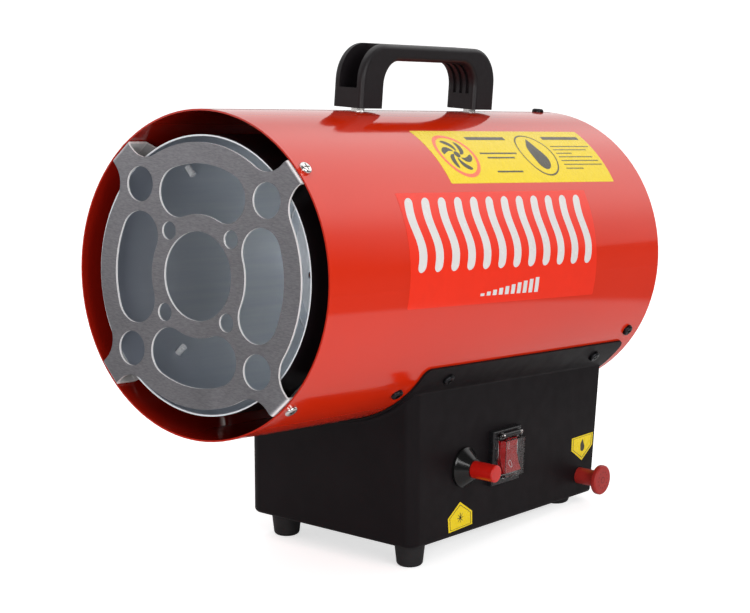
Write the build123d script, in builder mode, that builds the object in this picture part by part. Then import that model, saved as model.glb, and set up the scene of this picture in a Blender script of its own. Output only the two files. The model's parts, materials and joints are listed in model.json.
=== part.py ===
from build123d import *

import os
from math import acos, cos, degrees, hypot, radians, sin, sqrt, tan

# A portable forced-air propane heater, in millimetres.
# +Z is up, the hot-air outlet faces -Y and the controls are on the +X side.
# The origin is on the floor, under the middle of the tube.
# "depth" is a distance behind the outlet rim, measured along the tube's axis.

os.makedirs("parts", exist_ok=True)

# ---------------------------------------------------------------- driving dimensions

# tube
casing_radius = 95.0
casing_length = 352.3
casing_wall = 1.0
axis_height = 180.0
tube_tilt = 5.94

# gaps: between still pieces that follow one curve, round what slides or turns, round screws,
# how far a cut starts outside the metal, and how closely an edge fits the place it is picked by
curved_gap = 0.3
running_gap = 0.05
hole_gap = 0.25
cut_lead = 1.0
edge_match = 0.1

# outlet plate
grille_sheet = 1.5
grille_standoff = 0.7
grille_ring_gap = 17.8
grille_rim = 12.0
grille_web = 9.8
grille_hole_radius = 25.6
grille_slot_half_angle = 21.6
grille_eye_radius = 10.2
grille_eye_inset = 8.1
grille_port_radius = 5.3
grille_port_offset = 7.8
arm_width = 16.0
arm_neck_gap = 1.8
arm_bend_radius = 2.4
arm_angles = (45, 135, 225, 315)
strap_gap = 0.8
strap_step_depth = 14.0
strap_step_length = 12.0
strap_end_depth = 55.0
strap_screw_depth = 6.0
strap_screw_inset = 8.0

# combustion chamber
chamber_gap = 13.5
chamber_wall = 0.8
chamber_setback = 2.0
chamber_overlap = 10.0
chamber_screw_length = 9.0
support_depth = 105.6
support_angles = (-45.8, 225.8)
support_radius = 4.0
rim_hem = 0.6

# burner
burner_room = 80.0
burner_sheet = 1.2
burner_plate_rim = 8.0
burner_mouth_radius = 14.0
swirl_slots = 12
swirl_slot_inset = 10.7
swirl_slot_length = 22.0
swirl_slot_width = 5.0
cup_radius = 27.0
cup_length = 29.0
cup_wall = 1.0
cup_dome = 4.0
cup_slots = 12
cup_front_slot = (13.5, 2.4)
cup_side_slot = (16.0, 3.0)
burner_flange_width = 7.5
burner_screws = 3
mixer_length = 46.0
mixer_throat_radius = 9.0
mixer_bell_radius = 16.0
probe_gap = 8.5
probe_reach = 26.0
probe_tail = 13.0
probe_overhang = 8.5
probe_collar_width = 2.5
probe_collar_length = 3.5
electrode_angle = 60
thermocouple_angle = 120
insulator_radius = 3.5
electrode_radius = 1.1
thermocouple_radius = 2.4
jet_gap = 6.8
jet_bracket_half_width = 41.0
jet_bracket_width = 14.0
jet_bracket_foot = 14.0
jet_bracket_bend = 1.5
jet_spigot_radius = 5.0
jet_spigot_reach = 4.0
jet_holder_length = 14.0
jet_holder_side = 20.0
jet_holder_drop = 14.0
jet_passage_radius = 1.5
jet_orifice_radius = 0.6
jet_tip_radius = 2.4
jet_neck_radius = 4.5
jet_body_radius = 7.5
jet_cone_length = 5.0
jet_step_length = 2.0
jet_nose_length = 14.0
block_chamfer = 0.8

# gas line
pipe_radius = 3.0
pipe_bore = 2.0
pipe_bend_radius = 12.0
pipe_insertion = 5.0
pipe_fit = 0.1
pipe_socket_depth = 7.0
pipe_hole_gap = 2.0
pipe_nut_radius = 6.5
pipe_nut_length = 9.0
valve_inset = 14.0
valve_z = 20.0
valve_half = 9.0
valve_body_length = 42.0
valve_outlet_offset = 4.0
valve_neck_radius = 9.0
valve_neck_length = 8.0
valve_stem_radius = 5.5
valve_protrusion = 19.0
valve_cap_radius = 10.0
valve_cap_thickness = 4.0
valve_cap_edge = 1.2
valve_step = 2.0
valve_well_depth = 20.0
valve_well_radius = 7.5
valve_spring_radius = 5.2
magnet_radius = 7.0
magnet_length = 16.0
inlet_hex_flats = 17.0
inlet_thread_radius = 6.58
inlet_relief_radius = 6.0
inlet_relief_width = 1.2
inlet_reach = 16.0
inlet_bore = 3.0
inlet_chamfer = 0.8
inlet_nut_flats = 19.0
inlet_nut_thickness = 4.0

# base box
base_half_width = 65.5
base_front_y = -60.0
base_rear_y = 142.5
base_front_clearance = 16.5
base_pitch = 3.35
base_wall = 1.5
base_corner_radius = 8.0
base_edge_radius = 3.0
base_rim_width = 26.0
base_bend_radius = 2.5
floor_sheet = 1.2
lip_sheet = 1.2
lip_reach = 5.2
flange_reach = 21.8
flange_front_radius = 5.0
flange_rear_radius = 6.0
flange_screw_reach = 11.3
flange_screw_front_inset = 20.0
flange_screw_rear_inset = 23.2
rear_return = 12.0
foot_inset_x = 15.6
foot_inset_y = 18.3
foot_top_radius = 9.7
foot_bottom_radius = 8.1
foot_edge_radius = 2.5
front_foot_grip = 7.0
rear_foot_grip = 3.0
rear_screw_inset = 8.0

# igniter
igniter_y = -6.5
igniter_z = 57.5
igniter_rim_radius = 12.75
igniter_rim_thickness = 2.5
igniter_rim_edge = 0.7
igniter_button_edge = 0.9
igniter_nose_radius = 6.6
igniter_nose_length = 8.5
igniter_button_radius = 5.5
igniter_protrusion = 25.0
igniter_barrel_radius = 9.0
igniter_barrel_length = 46.0
igniter_well_radius = 7.2
igniter_step = 4.0
igniter_floor = 3.0
igniter_collar_thickness = 2.0
igniter_nut_flats = 24.0
igniter_nut_thickness = 4.0
igniter_spring_radius = 5.0
piezo_length = 18.0
piezo_pin_length = 10.0

# switch
switch_y = 35.6
switch_z = 55.9
bezel_width = 31.0
bezel_height = 35.5
bezel_thickness = 4.0
switch_body_width = 24.0
switch_body_height = 29.0
switch_body_depth = 24.0
rocker_width = 18.6
rocker_half_height = 10.4
rocker_proud = 3.0
rocker_dish = 1.0
rocker_pivot_depth = 2.0
rocker_swing = 9.0
rocker_pin_radius = 1.25
rocker_cavity_depth = 13.0
rocker_gap = 0.1
rocker_belly = 0.5
rocker_keel = 4.0
bezel_edge = 1.2
cover_width = 21.7
cover_height = 25.0
cover_rise = 6.4
cover_wall = 0.8
cover_hinge_rise = 2.3
cover_hinge_offset = 14.8
cover_pin_radius = 0.9
cover_knuckle_radius = 2.0
cover_ear_width = 2.15
cover_edge = 0.7
blade_length = 8.0
blade_width = 6.3
blade_thickness = 0.8

# rear end: guard, bracket, motor, fan
guard_inset = 5.7
guard_wire_radius = 1.2
guard_edge_gap = 6.0
guard_rings = 5
guard_spokes = 6
guard_tab_width = 10.0
guard_tab_sheet = 1.2
guard_tab_gap = 0.5
lower_leg_gap = 9.1
casing_screw_inset = 15.3
bracket_screw_reach = 9.3
bracket_sheet = 1.5
bracket_leg_width = 24.0
bracket_disc_radius = 34.0
bracket_tab_length = 17.0
motor_setback = 19.0
stack_length = 22.0
stator_half_width = 30.5
stator_top = 26.0
stator_bottom = -46.0
stator_bore_radius = 16.6
stator_chamfer = 4.0
rotor_radius = 16.2
window_half_width = 18.5
window_top = -20.0
coil_core_height = 12.0
coil_side = 8.0
coil_overhang = 5.0
coil_corner = 3.0
coil_gap = 1.0
rotor_ring_width = 3.0
rotor_ring_length = 1.4
motor_bolt_offset = 25.0
motor_bar_thickness = 3.0
motor_bar_height = 14.0
motor_bar_standoff = 3.0
motor_stand_radius = 4.9
motor_bolt_end = 5.0
shaft_radius = 3.0
shaft_nose = 4.0
shaft_tail = 2.0
shaft_chamfer = 0.5
bearing_radius = 8.0
bearing_length = 1.5
bearing_gap = 1.0
fan_blades = 5
fan_tip_gap = 10.0
fan_hub_radius = 14.0
fan_hub_edge = 1.5
fan_setback = 32.0
fan_hub_length = 18.0
fan_nut_flats = 10.0
fan_nut_thickness = 4.0
blade_root_chord = 20.0
blade_tip_chord = 44.0
blade_root_pitch = 42.0
blade_tip_pitch = 22.0
blade_sheet = 1.4
blade_root_sink = 2.0

# handle
handle_front_depth = 125.1
handle_length = 141.3
handle_spacer_height = 1.9
handle_height = 39.3
handle_width = 23.0
handle_leg = 22.4
handle_grip = 10.0
handle_outer_radius = 22.5
handle_inner_radius = 15.0
handle_edge_radius = 3.0
pocket_width = 13.6
pocket_sill = 12.1
pocket_wall = 3.2
pocket_overrun = 2.0
groove_width = 2.6
groove_depth = 1.6
groove_spacing = 5.0
groove_end = 10.1
handle_spacer_radius = 3.8
handle_head_gap = 0.15
thread_depth = 11.0

# return springs
spring_wire_radius = 0.5
spring_turns = 6
spring_end_gap = 0.5

# fasteners: head radius, head height, shank radius; nut across flats, nut height
m3_screw = (2.9, 1.8, 1.5)
m4_screw = (3.9, 2.3, 2.0)
m5_screw = (4.6, 3.0, 2.5)
m3_nut = (5.5, 2.2)
m4_nut = (7.0, 3.2)
screw_length = 7.0
burner_screw_length = 7.0
bracket_screw_length = 6.0
panel_screw_length = 5.5
screw_end_gap = 3.0
screw_tip_gap = 0.4

# electrics inside the base
terminal_x = -24.0
terminal_y = 30.0
terminal_length = 48.0
terminal_width = 17.0
terminal_height = 14.0
terminal_ways = 5
terminal_row_spacing = 9.0
terminal_hole_radius = 2.2
terminal_hole_depth = 5.0
thermostat_radius = 8.0
thermostat_height = 6.5
thermostat_step = 1.5
thermostat_inset = 42.0
thermostat_blade = (4.0, 4.0, 6.0)
gland_x = -34.0
gland_level = 42.0
gland_radius = 9.0
gland_thread_radius = 6.0
gland_bore = 3.6
gland_hex_length = 5.0
gland_cap_length = 10.0
gland_cap_inset = 0.6
gland_cap_taper = 10
gland_nut_flats = 18.0
gland_nut_thickness = 4.0
gland_tail = 3.0

# ---------------------------------------------------------------- sizes that follow from these

casing_inner = casing_radius - casing_wall
strap_outer = casing_inner - strap_gap
flange_inner = casing_radius + curved_gap
flange_outer = flange_inner + lip_sheet
panel_inner = base_half_width - base_wall
m3_hole = m3_screw[2] + hole_gap
m4_hole = m4_screw[2] + hole_gap

# The rear end hangs from the rear rim, and the burner from the motor shaft's tip.
rear_screw_depth = casing_length - casing_screw_inset
guard_depth = casing_length - guard_inset
bracket_depth = rear_screw_depth - bracket_screw_reach
motor_depth = bracket_depth - motor_setback
fan_depth = motor_depth - fan_setback
shaft_front_depth = fan_depth - fan_hub_length / 2 - fan_nut_thickness - shaft_nose
burner_plate_depth = shaft_front_depth - burner_room
burner_back = burner_plate_depth + burner_sheet
chamber_end_depth = burner_plate_depth + chamber_overlap
chamber_radius = casing_inner - chamber_gap
chamber_inner = chamber_radius - chamber_wall
chamber_screw_depth = strap_end_depth - strap_screw_inset
jet_bracket_depth = burner_back + mixer_length + jet_gap
jet_holder_front = jet_bracket_depth + burner_sheet
pipe_riser_depth = jet_holder_front + jet_holder_length / 2
thermostat_depth = chamber_end_depth - thermostat_inset

burner_flange_radius = cup_radius + burner_flange_width
burner_screw_distance = cup_radius + burner_flange_width / 2
probe_distance = burner_flange_radius + probe_gap
probe_collar_radius = insulator_radius + probe_collar_width

handle_rear_depth = handle_front_depth + handle_length
handle_foot_level = casing_radius + handle_spacer_height
handle_top_level = handle_foot_level + handle_height
pocket_sill_level = handle_foot_level + pocket_sill
groove_end_level = handle_foot_level + groove_end

valve_y = base_rear_y - valve_inset
valve_outer_x = panel_inner - valve_neck_length
valve_outlet_x = valve_outer_x - valve_body_length / 2 - valve_outlet_offset

# The band under the tube turns out where the base's side walls meet it.
wall_angle = degrees(acos(base_half_width / flange_inner))
flange_top_angle = degrees(flange_reach / flange_inner) - wall_angle
flange_screw_angle = degrees(flange_screw_reach / flange_inner) - wall_angle
lower_leg_angle = flange_top_angle + degrees(lower_leg_gap / casing_radius)

# ---------------------------------------------------------------- reference planes

tilt = radians(tube_tilt)
pitch = radians(base_pitch)
blow_direction = Vector(0, -cos(tilt), sin(tilt))
rear_direction = -blow_direction
axis_up = Vector(0, sin(tilt), cos(tilt))
outlet_centre = Vector(0, 0, axis_height) + blow_direction * (casing_length / 2)
outlet_plane = Plane(origin=outlet_centre, x_dir=(1, 0, 0), z_dir=blow_direction)
tube_axis = Axis(outlet_centre, blow_direction)
# In the side plane, x is the depth behind the outlet rim and y the height above the tube's axis.
side_plane = Plane(origin=outlet_centre, x_dir=rear_direction, z_dir=(1, 0, 0))
# On the control panel, x runs rearwards along the base's floor and y is up from it.
panel_x_dir = Vector(0, cos(pitch), -sin(pitch))


def depth_plane(depth):
    """Cross-section of the tube this far behind the outlet rim, its Z towards the outlet."""
    return outlet_plane.offset(-depth)


def radial_plane(angle, depth, radius):
    """Plane at this radius from the tube's axis, its Z pointing away from the axis."""
    around = Location((0, 0, -depth), (0, 0, angle))
    outwards = Location((radius, 0, 0), (0, 90, 0))
    return Plane(outlet_plane.location * around * outwards)


def axial_plane(angle, distance, depth):
    """Cross-section plane centred this far out from the tube's axis, its Z towards the outlet."""
    spot = (distance * cos(radians(angle)), distance * sin(radians(angle)), -depth)
    return Plane(outlet_plane.location * Location(spot))


def tube_point(x, depth, level):
    """Point at this x, this far behind the outlet rim and this far above the tube's axis."""
    return outlet_plane.from_local_coords(Vector(x, level, -depth))


def up_plane(x, depth, level):
    """Plane at this point of the tube's frame, its Z square to the tube's axis and upwards."""
    return Plane(origin=tube_point(x, depth, level), x_dir=(1, 0, 0), z_dir=axis_up)


def radial_section(angle):
    """Lengthways section through the tube: x is the radius, y the distance in front of the rim."""
    turned = Plane(outlet_plane.location * Location((0, 0, 0), (0, 0, angle)))
    return Plane(origin=outlet_centre, x_dir=turned.x_dir, z_dir=turned.x_dir.cross(blow_direction))


def panel_plane(y, z):
    """Plane on the control panel, its Z pointing out of the panel."""
    return Plane(origin=(base_half_width, y, z), x_dir=panel_x_dir, z_dir=(1, 0, 0))


def section_through(plane):
    """Plane that holds the given plane's X and Z directions, as its own x and y."""
    return Plane(origin=plane.origin, x_dir=plane.x_dir, z_dir=plane.x_dir.cross(plane.z_dir))


def base_floor_z(y):
    """Height of the base's underside above the ground at this y."""
    return base_front_clearance - (y - base_front_y) * tan(pitch)


def spot_plane(plane, x, y):
    """The same plane with its origin moved to this spot on it."""
    return Plane(origin=plane.from_local_coords(Vector(x, y, 0)), x_dir=plane.x_dir, z_dir=plane.z_dir)


# ---------------------------------------------------------------- small repeated features


def add_screw(plane, size, length):
    """Pan-head screw with a cross recess: its head sits on the plane, its shank goes down."""
    head_radius, head_height, shank_radius = size
    with BuildSketch(section_through(plane)) as profile:
        Polygon(
            (0, head_height),
            (0, -length),
            (shank_radius, -length),
            (shank_radius, 0),
            (head_radius, 0),
            (head_radius, head_height),
            align=None,
        )
        rim = profile.vertices().sort_by(lambda v: v.X + v.Y)[-1]
        fillet(rim, radius=0.6 * head_height)
    revolve(profile.sketch, axis=Axis(plane.origin, plane.z_dir))
    recess = 0.24 * head_radius
    with BuildSketch(plane.offset(head_height)) as cross:
        Rectangle(1.2 * head_radius, recess)
        Rectangle(recess, 1.2 * head_radius)
    extrude(cross.sketch, amount=-0.55 * head_height, mode=Mode.SUBTRACT)


def add_hex_nut(plane, across_flats, thickness, bore):
    """Hexagonal nut or spacer that stands on the plane."""
    with BuildSketch(plane) as face:
        RegularPolygon(radius=across_flats / 2, side_count=6, major_radius=False)
        Circle(bore, mode=Mode.SUBTRACT)
    extrude(face.sketch, amount=thickness)


def cut_round(plane, radius, length):
    """Round hole from the plane, down against its Z for the given length."""
    with BuildSketch(plane) as face:
        Circle(radius)
    extrude(face.sketch, amount=-length, mode=Mode.SUBTRACT)


def pierce(plane, radius, wall):
    """Round hole right through a wall of this thickness under the plane."""
    cut_round(plane.offset(cut_lead), radius, wall + 2 * cut_lead)


def add_tube(plane, outer, inner, length):
    """Round sleeve that runs down from the plane, against its Z."""
    with BuildSketch(plane) as face:
        Circle(outer)
        Circle(inner, mode=Mode.SUBTRACT)
    extrude(face.sketch, amount=-length)


def add_coil(plane, length, radius):
    """Coil spring of this length, standing on the plane."""
    with BuildLine() as coil:
        Helix(
            pitch=length / spring_turns,
            height=length,
            radius=radius,
            center=plane.origin,
            direction=plane.z_dir,
        )
    with BuildSketch(Plane(origin=coil.line @ 0, z_dir=coil.line % 0)) as wire:
        Circle(spring_wire_radius)
    sweep(wire.sketch, path=coil.line)


def finish(part, name):
    """Give the piece its label and write its file."""
    part.label = name
    export_step(part, f"parts/{name}.step")


# ---------------------------------------------------------------- where the base meets the tube

rear_corner = Vector(0, base_rear_y, base_floor_z(base_rear_y))
# On the rear panel, z points to the rear, y up and x to the left, as seen in the heater's own frame.
rear_plane = Plane(origin=rear_corner, x_dir=(-1, 0, 0), z_dir=rear_direction)
rear_corner_depth = -outlet_plane.to_local_coords(rear_corner).Z
panel_arch_level = -outlet_plane.to_local_coords(rear_corner).Y
band_front = Vector(0, base_front_y, axis_height - casing_radius)
band_front_depth = -outlet_plane.to_local_coords(band_front).Z
flange_screw_depths = (
    band_front_depth + flange_screw_front_inset,
    rear_corner_depth - flange_screw_rear_inset,
)
floor_plane = Plane(
    origin=(0, base_front_y, base_front_clearance), x_dir=(1, 0, 0), z_dir=(0, sin(pitch), cos(pitch))
)
floor_length = (base_rear_y - base_front_y) / cos(pitch)

# ---------------------------------------------------------------- outer casing

flange_angles = (flange_screw_angle, 180 - flange_screw_angle)
leg_angles = (90, lower_leg_angle, 180 - lower_leg_angle)
handle_screw_depths = (handle_front_depth + handle_leg / 2, handle_rear_depth - handle_leg / 2)

casing_holes = (
    [(angle, strap_screw_depth, m4_hole) for angle in arm_angles]
    + [(angle, support_depth, m4_hole) for angle in support_angles]
    + [(angle, depth, m4_hole) for angle in flange_angles for depth in flange_screw_depths]
    + [(angle, rear_screw_depth, m4_hole) for angle in leg_angles]
    + [(90, depth, m5_screw[2] + hole_gap) for depth in handle_screw_depths]
    + [(-90, pipe_riser_depth, pipe_nut_radius + pipe_hole_gap)]
)

with BuildPart() as outer_casing:
    add_tube(outlet_plane, casing_radius, casing_inner, casing_length)
    for angle, depth, radius in casing_holes:
        pierce(radial_plane(angle, depth, casing_radius), radius, casing_wall)
finish(outer_casing.part, "outer_casing")

# ---------------------------------------------------------------- outlet plate

grille_front = grille_standoff + grille_sheet
strap_foot = chamber_radius + curved_gap
strap_face = strap_foot + grille_sheet
strap_root = strap_outer - 6 * arm_bend_radius
arm_reach = strap_outer - arm_bend_radius
grille_ring_radius = casing_inner - grille_ring_gap
# A fillet between the ring and an arm's side that ends just before the arm's bend.
neck_end = arm_reach - arm_neck_gap
arm_fillet = (neck_end**2 - grille_ring_radius**2 + arm_width**2 / 4) / (2 * grille_ring_radius - arm_width)
slot_outer = grille_ring_radius - grille_rim
slot_inner = grille_hole_radius + grille_web
slot_arc = CenterArc(
    (0, 0), (slot_outer + slot_inner) / 2, -grille_slot_half_angle, 2 * grille_slot_half_angle
)
arms = len(arm_angles)

with BuildPart() as front_grille:
    with BuildSketch(depth_plane(-grille_standoff)) as face:
        Circle(grille_ring_radius)
        with PolarLocations(arm_reach / 2, arms, start_angle=arm_angles[0]):
            Rectangle(arm_reach, arm_width)
        necks = [v for v in face.vertices() if abs(hypot(v.X, v.Y) - grille_ring_radius) < curved_gap]
        fillet(necks, radius=arm_fillet)
        Circle(grille_hole_radius, mode=Mode.SUBTRACT)
        with PolarLocations(grille_ring_radius - grille_eye_inset, arms, start_angle=arm_angles[0]):
            Circle(grille_eye_radius, mode=Mode.SUBTRACT)
        with PolarLocations(grille_hole_radius + grille_port_offset, arms, start_angle=arm_angles[0]):
            Circle(grille_port_radius, mode=Mode.SUBTRACT)
        with PolarLocations(0, arms):
            SlotArc(slot_arc, slot_outer - slot_inner, mode=Mode.SUBTRACT)
    extrude(amount=grille_sheet)
    for angle in arm_angles:
        with BuildSketch(radial_section(angle)):
            with BuildLine():
                FilletPolyline(
                    (strap_root, grille_front),
                    (strap_outer, grille_front),
                    (strap_outer, -strap_step_depth),
                    (strap_face, -strap_step_depth - strap_step_length),
                    (strap_face, -strap_end_depth),
                    radius=arm_bend_radius,
                )
                offset(amount=grille_sheet, side=Side.RIGHT)
            make_face()
        extrude(amount=arm_width / 2, both=True)
        pierce(radial_plane(angle, strap_screw_depth, strap_outer), m4_hole, grille_sheet)
        pierce(radial_plane(angle, chamber_screw_depth, strap_face), m4_hole, grille_sheet)
finish(front_grille.part, "front_grille")

with BuildPart() as grille_screws:
    for angle in arm_angles:
        add_screw(radial_plane(angle, strap_screw_depth, casing_radius), m4_screw, screw_length)
finish(grille_screws.part, "grille_screws")

# ---------------------------------------------------------------- combustion chamber

support_outer = casing_inner - curved_gap

with BuildPart() as combustion_chamber:
    add_tube(
        depth_plane(chamber_setback), chamber_radius, chamber_inner, chamber_end_depth - chamber_setback
    )
    with BuildSketch(side_plane):
        with Locations((chamber_setback + rim_hem, chamber_radius - rim_hem)):
            Circle(rim_hem)
    revolve(axis=tube_axis)
    for angle in arm_angles:
        pierce(radial_plane(angle, chamber_screw_depth, chamber_radius), m4_hole, chamber_wall)
    for angle in support_angles:
        pierce(radial_plane(angle, support_depth, chamber_radius), m4_hole, chamber_wall)
finish(combustion_chamber.part, "combustion_chamber")

with BuildPart() as chamber_screws:
    for angle in arm_angles:
        add_screw(radial_plane(angle, chamber_screw_depth, strap_face), m4_screw, chamber_screw_length)
finish(chamber_screws.part, "chamber_screws")

with BuildPart() as chamber_supports:
    for angle in support_angles:
        top = radial_plane(angle, support_depth, support_outer)
        add_tube(top, support_radius, m4_hole, support_outer - chamber_radius - curved_gap)
finish(chamber_supports.part, "chamber_supports")

# ---------------------------------------------------------------- burner

burner_screw_angles = [90 + 360 / burner_screws * i for i in range(burner_screws)]
bracket_foot_distance = jet_bracket_half_width + burner_sheet + jet_bracket_foot / 2
plate_radius = chamber_inner - curved_gap
swirl_slot_radius = chamber_inner - swirl_slot_inset - swirl_slot_length / 2
probe_spread = 2 * (thermocouple_angle - electrode_angle)

with BuildPart() as burner_plate:
    with BuildSketch(depth_plane(burner_back)):
        Circle(plate_radius)
        Circle(burner_mouth_radius, mode=Mode.SUBTRACT)
        with PolarLocations(swirl_slot_radius, swirl_slots, start_angle=180 / swirl_slots):
            SlotOverall(swirl_slot_length, swirl_slot_width, mode=Mode.SUBTRACT)
        with PolarLocations(burner_screw_distance, burner_screws, start_angle=90):
            Circle(m3_hole, mode=Mode.SUBTRACT)
        with PolarLocations(bracket_foot_distance, 2):
            Circle(m3_hole, mode=Mode.SUBTRACT)
        with PolarLocations(probe_distance, 2, start_angle=electrode_angle, angular_range=probe_spread):
            Circle(insulator_radius + hole_gap, mode=Mode.SUBTRACT)
    extrude(amount=burner_sheet)
    add_tube(
        depth_plane(burner_plate_depth - burner_plate_rim),
        plate_radius,
        plate_radius - burner_sheet,
        burner_plate_rim + burner_sheet,
    )
finish(burner_plate.part, "burner_plate")

with BuildPart() as burner_cup:
    cup_front = burner_plate_depth - cup_length
    with BuildSketch(side_plane):
        with BuildLine():
            Polyline(
                (burner_plate_depth, burner_flange_radius),
                (burner_plate_depth, cup_radius - cup_wall),
                (cup_front + cup_wall, cup_radius - cup_wall),
                (cup_front + cup_dome + cup_wall, 0),
                (cup_front + cup_dome, 0),
                (cup_front, cup_radius),
                (burner_plate_depth - cup_wall, cup_radius),
                (burner_plate_depth - cup_wall, burner_flange_radius),
                close=True,
            )
        make_face()
    revolve(axis=tube_axis)
    for angle in burner_screw_angles:
        flange_face = axial_plane(angle, burner_screw_distance, burner_plate_depth - cup_wall)
        pierce(flange_face, m3_hole, cup_wall)
    with BuildSketch(depth_plane(cup_front)):
        with PolarLocations(cup_radius / 2, cup_slots):
            SlotOverall(*cup_front_slot)
    extrude(amount=-cup_dome - 2 * cup_wall, mode=Mode.SUBTRACT)
    for index in range(cup_slots):
        side_angle = 360 / cup_slots * index
        slot_seat = radial_plane(side_angle, burner_plate_depth - cup_length / 2, cup_radius)
        with BuildSketch(slot_seat.offset(cut_lead)):
            SlotOverall(*cup_side_slot)
        extrude(amount=-cup_wall - 2 * cut_lead, mode=Mode.SUBTRACT)
finish(burner_cup.part, "burner_cup")

mixer_mouth_radius = burner_mouth_radius - burner_sheet - curved_gap

with BuildPart() as mixing_tube:
    with BuildSketch(side_plane):
        with BuildLine():
            ThreePointArc(
                (burner_back, mixer_mouth_radius),
                (burner_back + mixer_length / 2, mixer_throat_radius),
                (burner_back + mixer_length, mixer_bell_radius),
            )
            offset(amount=burner_sheet, side=Side.LEFT)
        make_face()
    revolve(axis=tube_axis)
    add_tube(depth_plane(burner_back), burner_flange_radius, mixer_mouth_radius, burner_sheet)
    for angle in burner_screw_angles:
        pierce(axial_plane(angle, burner_screw_distance, burner_back), m3_hole, burner_sheet)
finish(mixing_tube.part, "mixing_tube")

with BuildPart() as burner_bolts:
    nut_flats, nut_height = m3_nut
    burner_nut_depth = burner_back + burner_sheet + nut_height
    for angle in burner_screw_angles:
        head_seat = axial_plane(angle, burner_screw_distance, burner_plate_depth - cup_wall)
        add_screw(head_seat, m3_screw, burner_screw_length)
        nut_seat = axial_plane(angle, burner_screw_distance, burner_nut_depth)
        add_hex_nut(nut_seat, nut_flats, nut_height, m3_hole)
    for angle in (0, 180):
        head_seat = axial_plane(angle, bracket_foot_distance, burner_plate_depth)
        add_screw(head_seat, m3_screw, bracket_screw_length)
        nut_seat = axial_plane(angle, bracket_foot_distance, burner_nut_depth)
        add_hex_nut(nut_seat, nut_flats, nut_height, m3_hole)
finish(burner_bolts.part, "burner_bolts")

with BuildPart() as jet_bracket:
    foot_end = jet_bracket_half_width + burner_sheet + jet_bracket_foot
    with BuildSketch(radial_section(0)):
        with BuildLine():
            FilletPolyline(
                (-foot_end, -burner_back),
                (-jet_bracket_half_width, -burner_back),
                (-jet_bracket_half_width, -jet_bracket_depth),
                (jet_bracket_half_width, -jet_bracket_depth),
                (jet_bracket_half_width, -burner_back),
                (foot_end, -burner_back),
                radius=jet_bracket_bend,
            )
            offset(amount=burner_sheet, side=Side.RIGHT)
        make_face()
    extrude(amount=jet_bracket_width / 2, both=True)
    pierce(depth_plane(jet_bracket_depth), jet_spigot_radius + hole_gap, burner_sheet)
    for angle in (0, 180):
        pierce(axial_plane(angle, bracket_foot_distance, burner_back), m3_hole, burner_sheet)
finish(jet_bracket.part, "jet_bracket")

jet_spigot_front = jet_bracket_depth - jet_spigot_reach
holder_underside = radial_plane(-90, pipe_riser_depth, jet_holder_drop)

with BuildPart() as jet_holder:
    with BuildSketch(depth_plane(jet_holder_front)):
        with Locations((0, (jet_holder_side / 2 - jet_holder_drop) / 2)):
            Rectangle(jet_holder_side, jet_holder_side / 2 + jet_holder_drop)
    extrude(amount=-jet_holder_length)
    chamfer(jet_holder.edges(), length=block_chamfer)
    with BuildSketch(depth_plane(jet_holder_front)):
        Circle(jet_spigot_radius)
    extrude(amount=jet_holder_front - jet_spigot_front)
    cut_round(depth_plane(jet_spigot_front), jet_passage_radius, pipe_riser_depth - jet_spigot_front)
    cut_round(holder_underside, pipe_radius + pipe_fit, pipe_socket_depth)
    cut_round(holder_underside, jet_passage_radius, jet_holder_drop)
finish(jet_holder.part, "jet_holder")

with BuildPart() as gas_jet:
    jet_front = jet_bracket_depth - jet_nose_length
    jet_neck = jet_front + jet_cone_length
    with BuildSketch(side_plane):
        with BuildLine():
            Polyline(
                (jet_front, jet_orifice_radius),
                (jet_front, jet_tip_radius),
                (jet_neck, jet_neck_radius),
                (jet_neck + jet_step_length, jet_body_radius),
                (jet_bracket_depth, jet_body_radius),
                (jet_bracket_depth, jet_spigot_radius + running_gap),
                (jet_spigot_front - curved_gap, jet_spigot_radius + running_gap),
                (jet_spigot_front - curved_gap, jet_orifice_radius),
                close=True,
            )
        make_face()
    revolve(axis=tube_axis)
finish(gas_jet.part, "gas_jet")

probe_front = burner_plate_depth - probe_reach
probe_back = burner_back + probe_tail
collar_front = burner_plate_depth - probe_collar_length

with BuildPart() as electrode_insulator:
    for radius, front, back in (
        (insulator_radius, probe_front, probe_back),
        (probe_collar_radius, collar_front, burner_plate_depth),
    ):
        with BuildSketch(axial_plane(electrode_angle, probe_distance, front)):
            Circle(radius)
        extrude(amount=front - back)
    pierce(
        axial_plane(electrode_angle, probe_distance, probe_front),
        electrode_radius + running_gap,
        probe_back - probe_front,
    )
finish(electrode_insulator.part, "electrode_insulator")

with BuildPart() as ignition_electrode:
    with BuildSketch(axial_plane(electrode_angle, probe_distance, probe_front - probe_overhang)):
        Circle(electrode_radius)
    extrude(amount=probe_front - probe_back - 2 * probe_overhang)
finish(ignition_electrode.part, "ignition_electrode")

with BuildPart() as thermocouple:
    for radius, front, back in (
        (thermocouple_radius, probe_front - probe_overhang, probe_back),
        (probe_collar_radius, collar_front, burner_plate_depth),
    ):
        with BuildSketch(axial_plane(thermocouple_angle, probe_distance, front)):
            Circle(radius)
        extrude(amount=front - back)
finish(thermocouple.part, "thermocouple")

with BuildPart() as overheat_thermostat:
    thermostat_seat = radial_plane(90, thermostat_depth, strap_foot)
    thermostat_blade_width, thermostat_blade_length, thermostat_blade_spacing = thermostat_blade
    with BuildSketch(thermostat_seat):
        Circle(thermostat_radius)
    extrude(amount=thermostat_height - thermostat_step)
    with BuildSketch(thermostat_seat):
        Circle(thermostat_radius - thermostat_step)
    extrude(amount=thermostat_height)
    with BuildSketch(thermostat_seat.offset(thermostat_height)):
        with GridLocations(0, thermostat_blade_spacing, 1, 2):
            Rectangle(thermostat_blade_width, blade_thickness)
    extrude(amount=thermostat_blade_length)
finish(overheat_thermostat.part, "overheat_thermostat")

# ---------------------------------------------------------------- gas line

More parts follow.
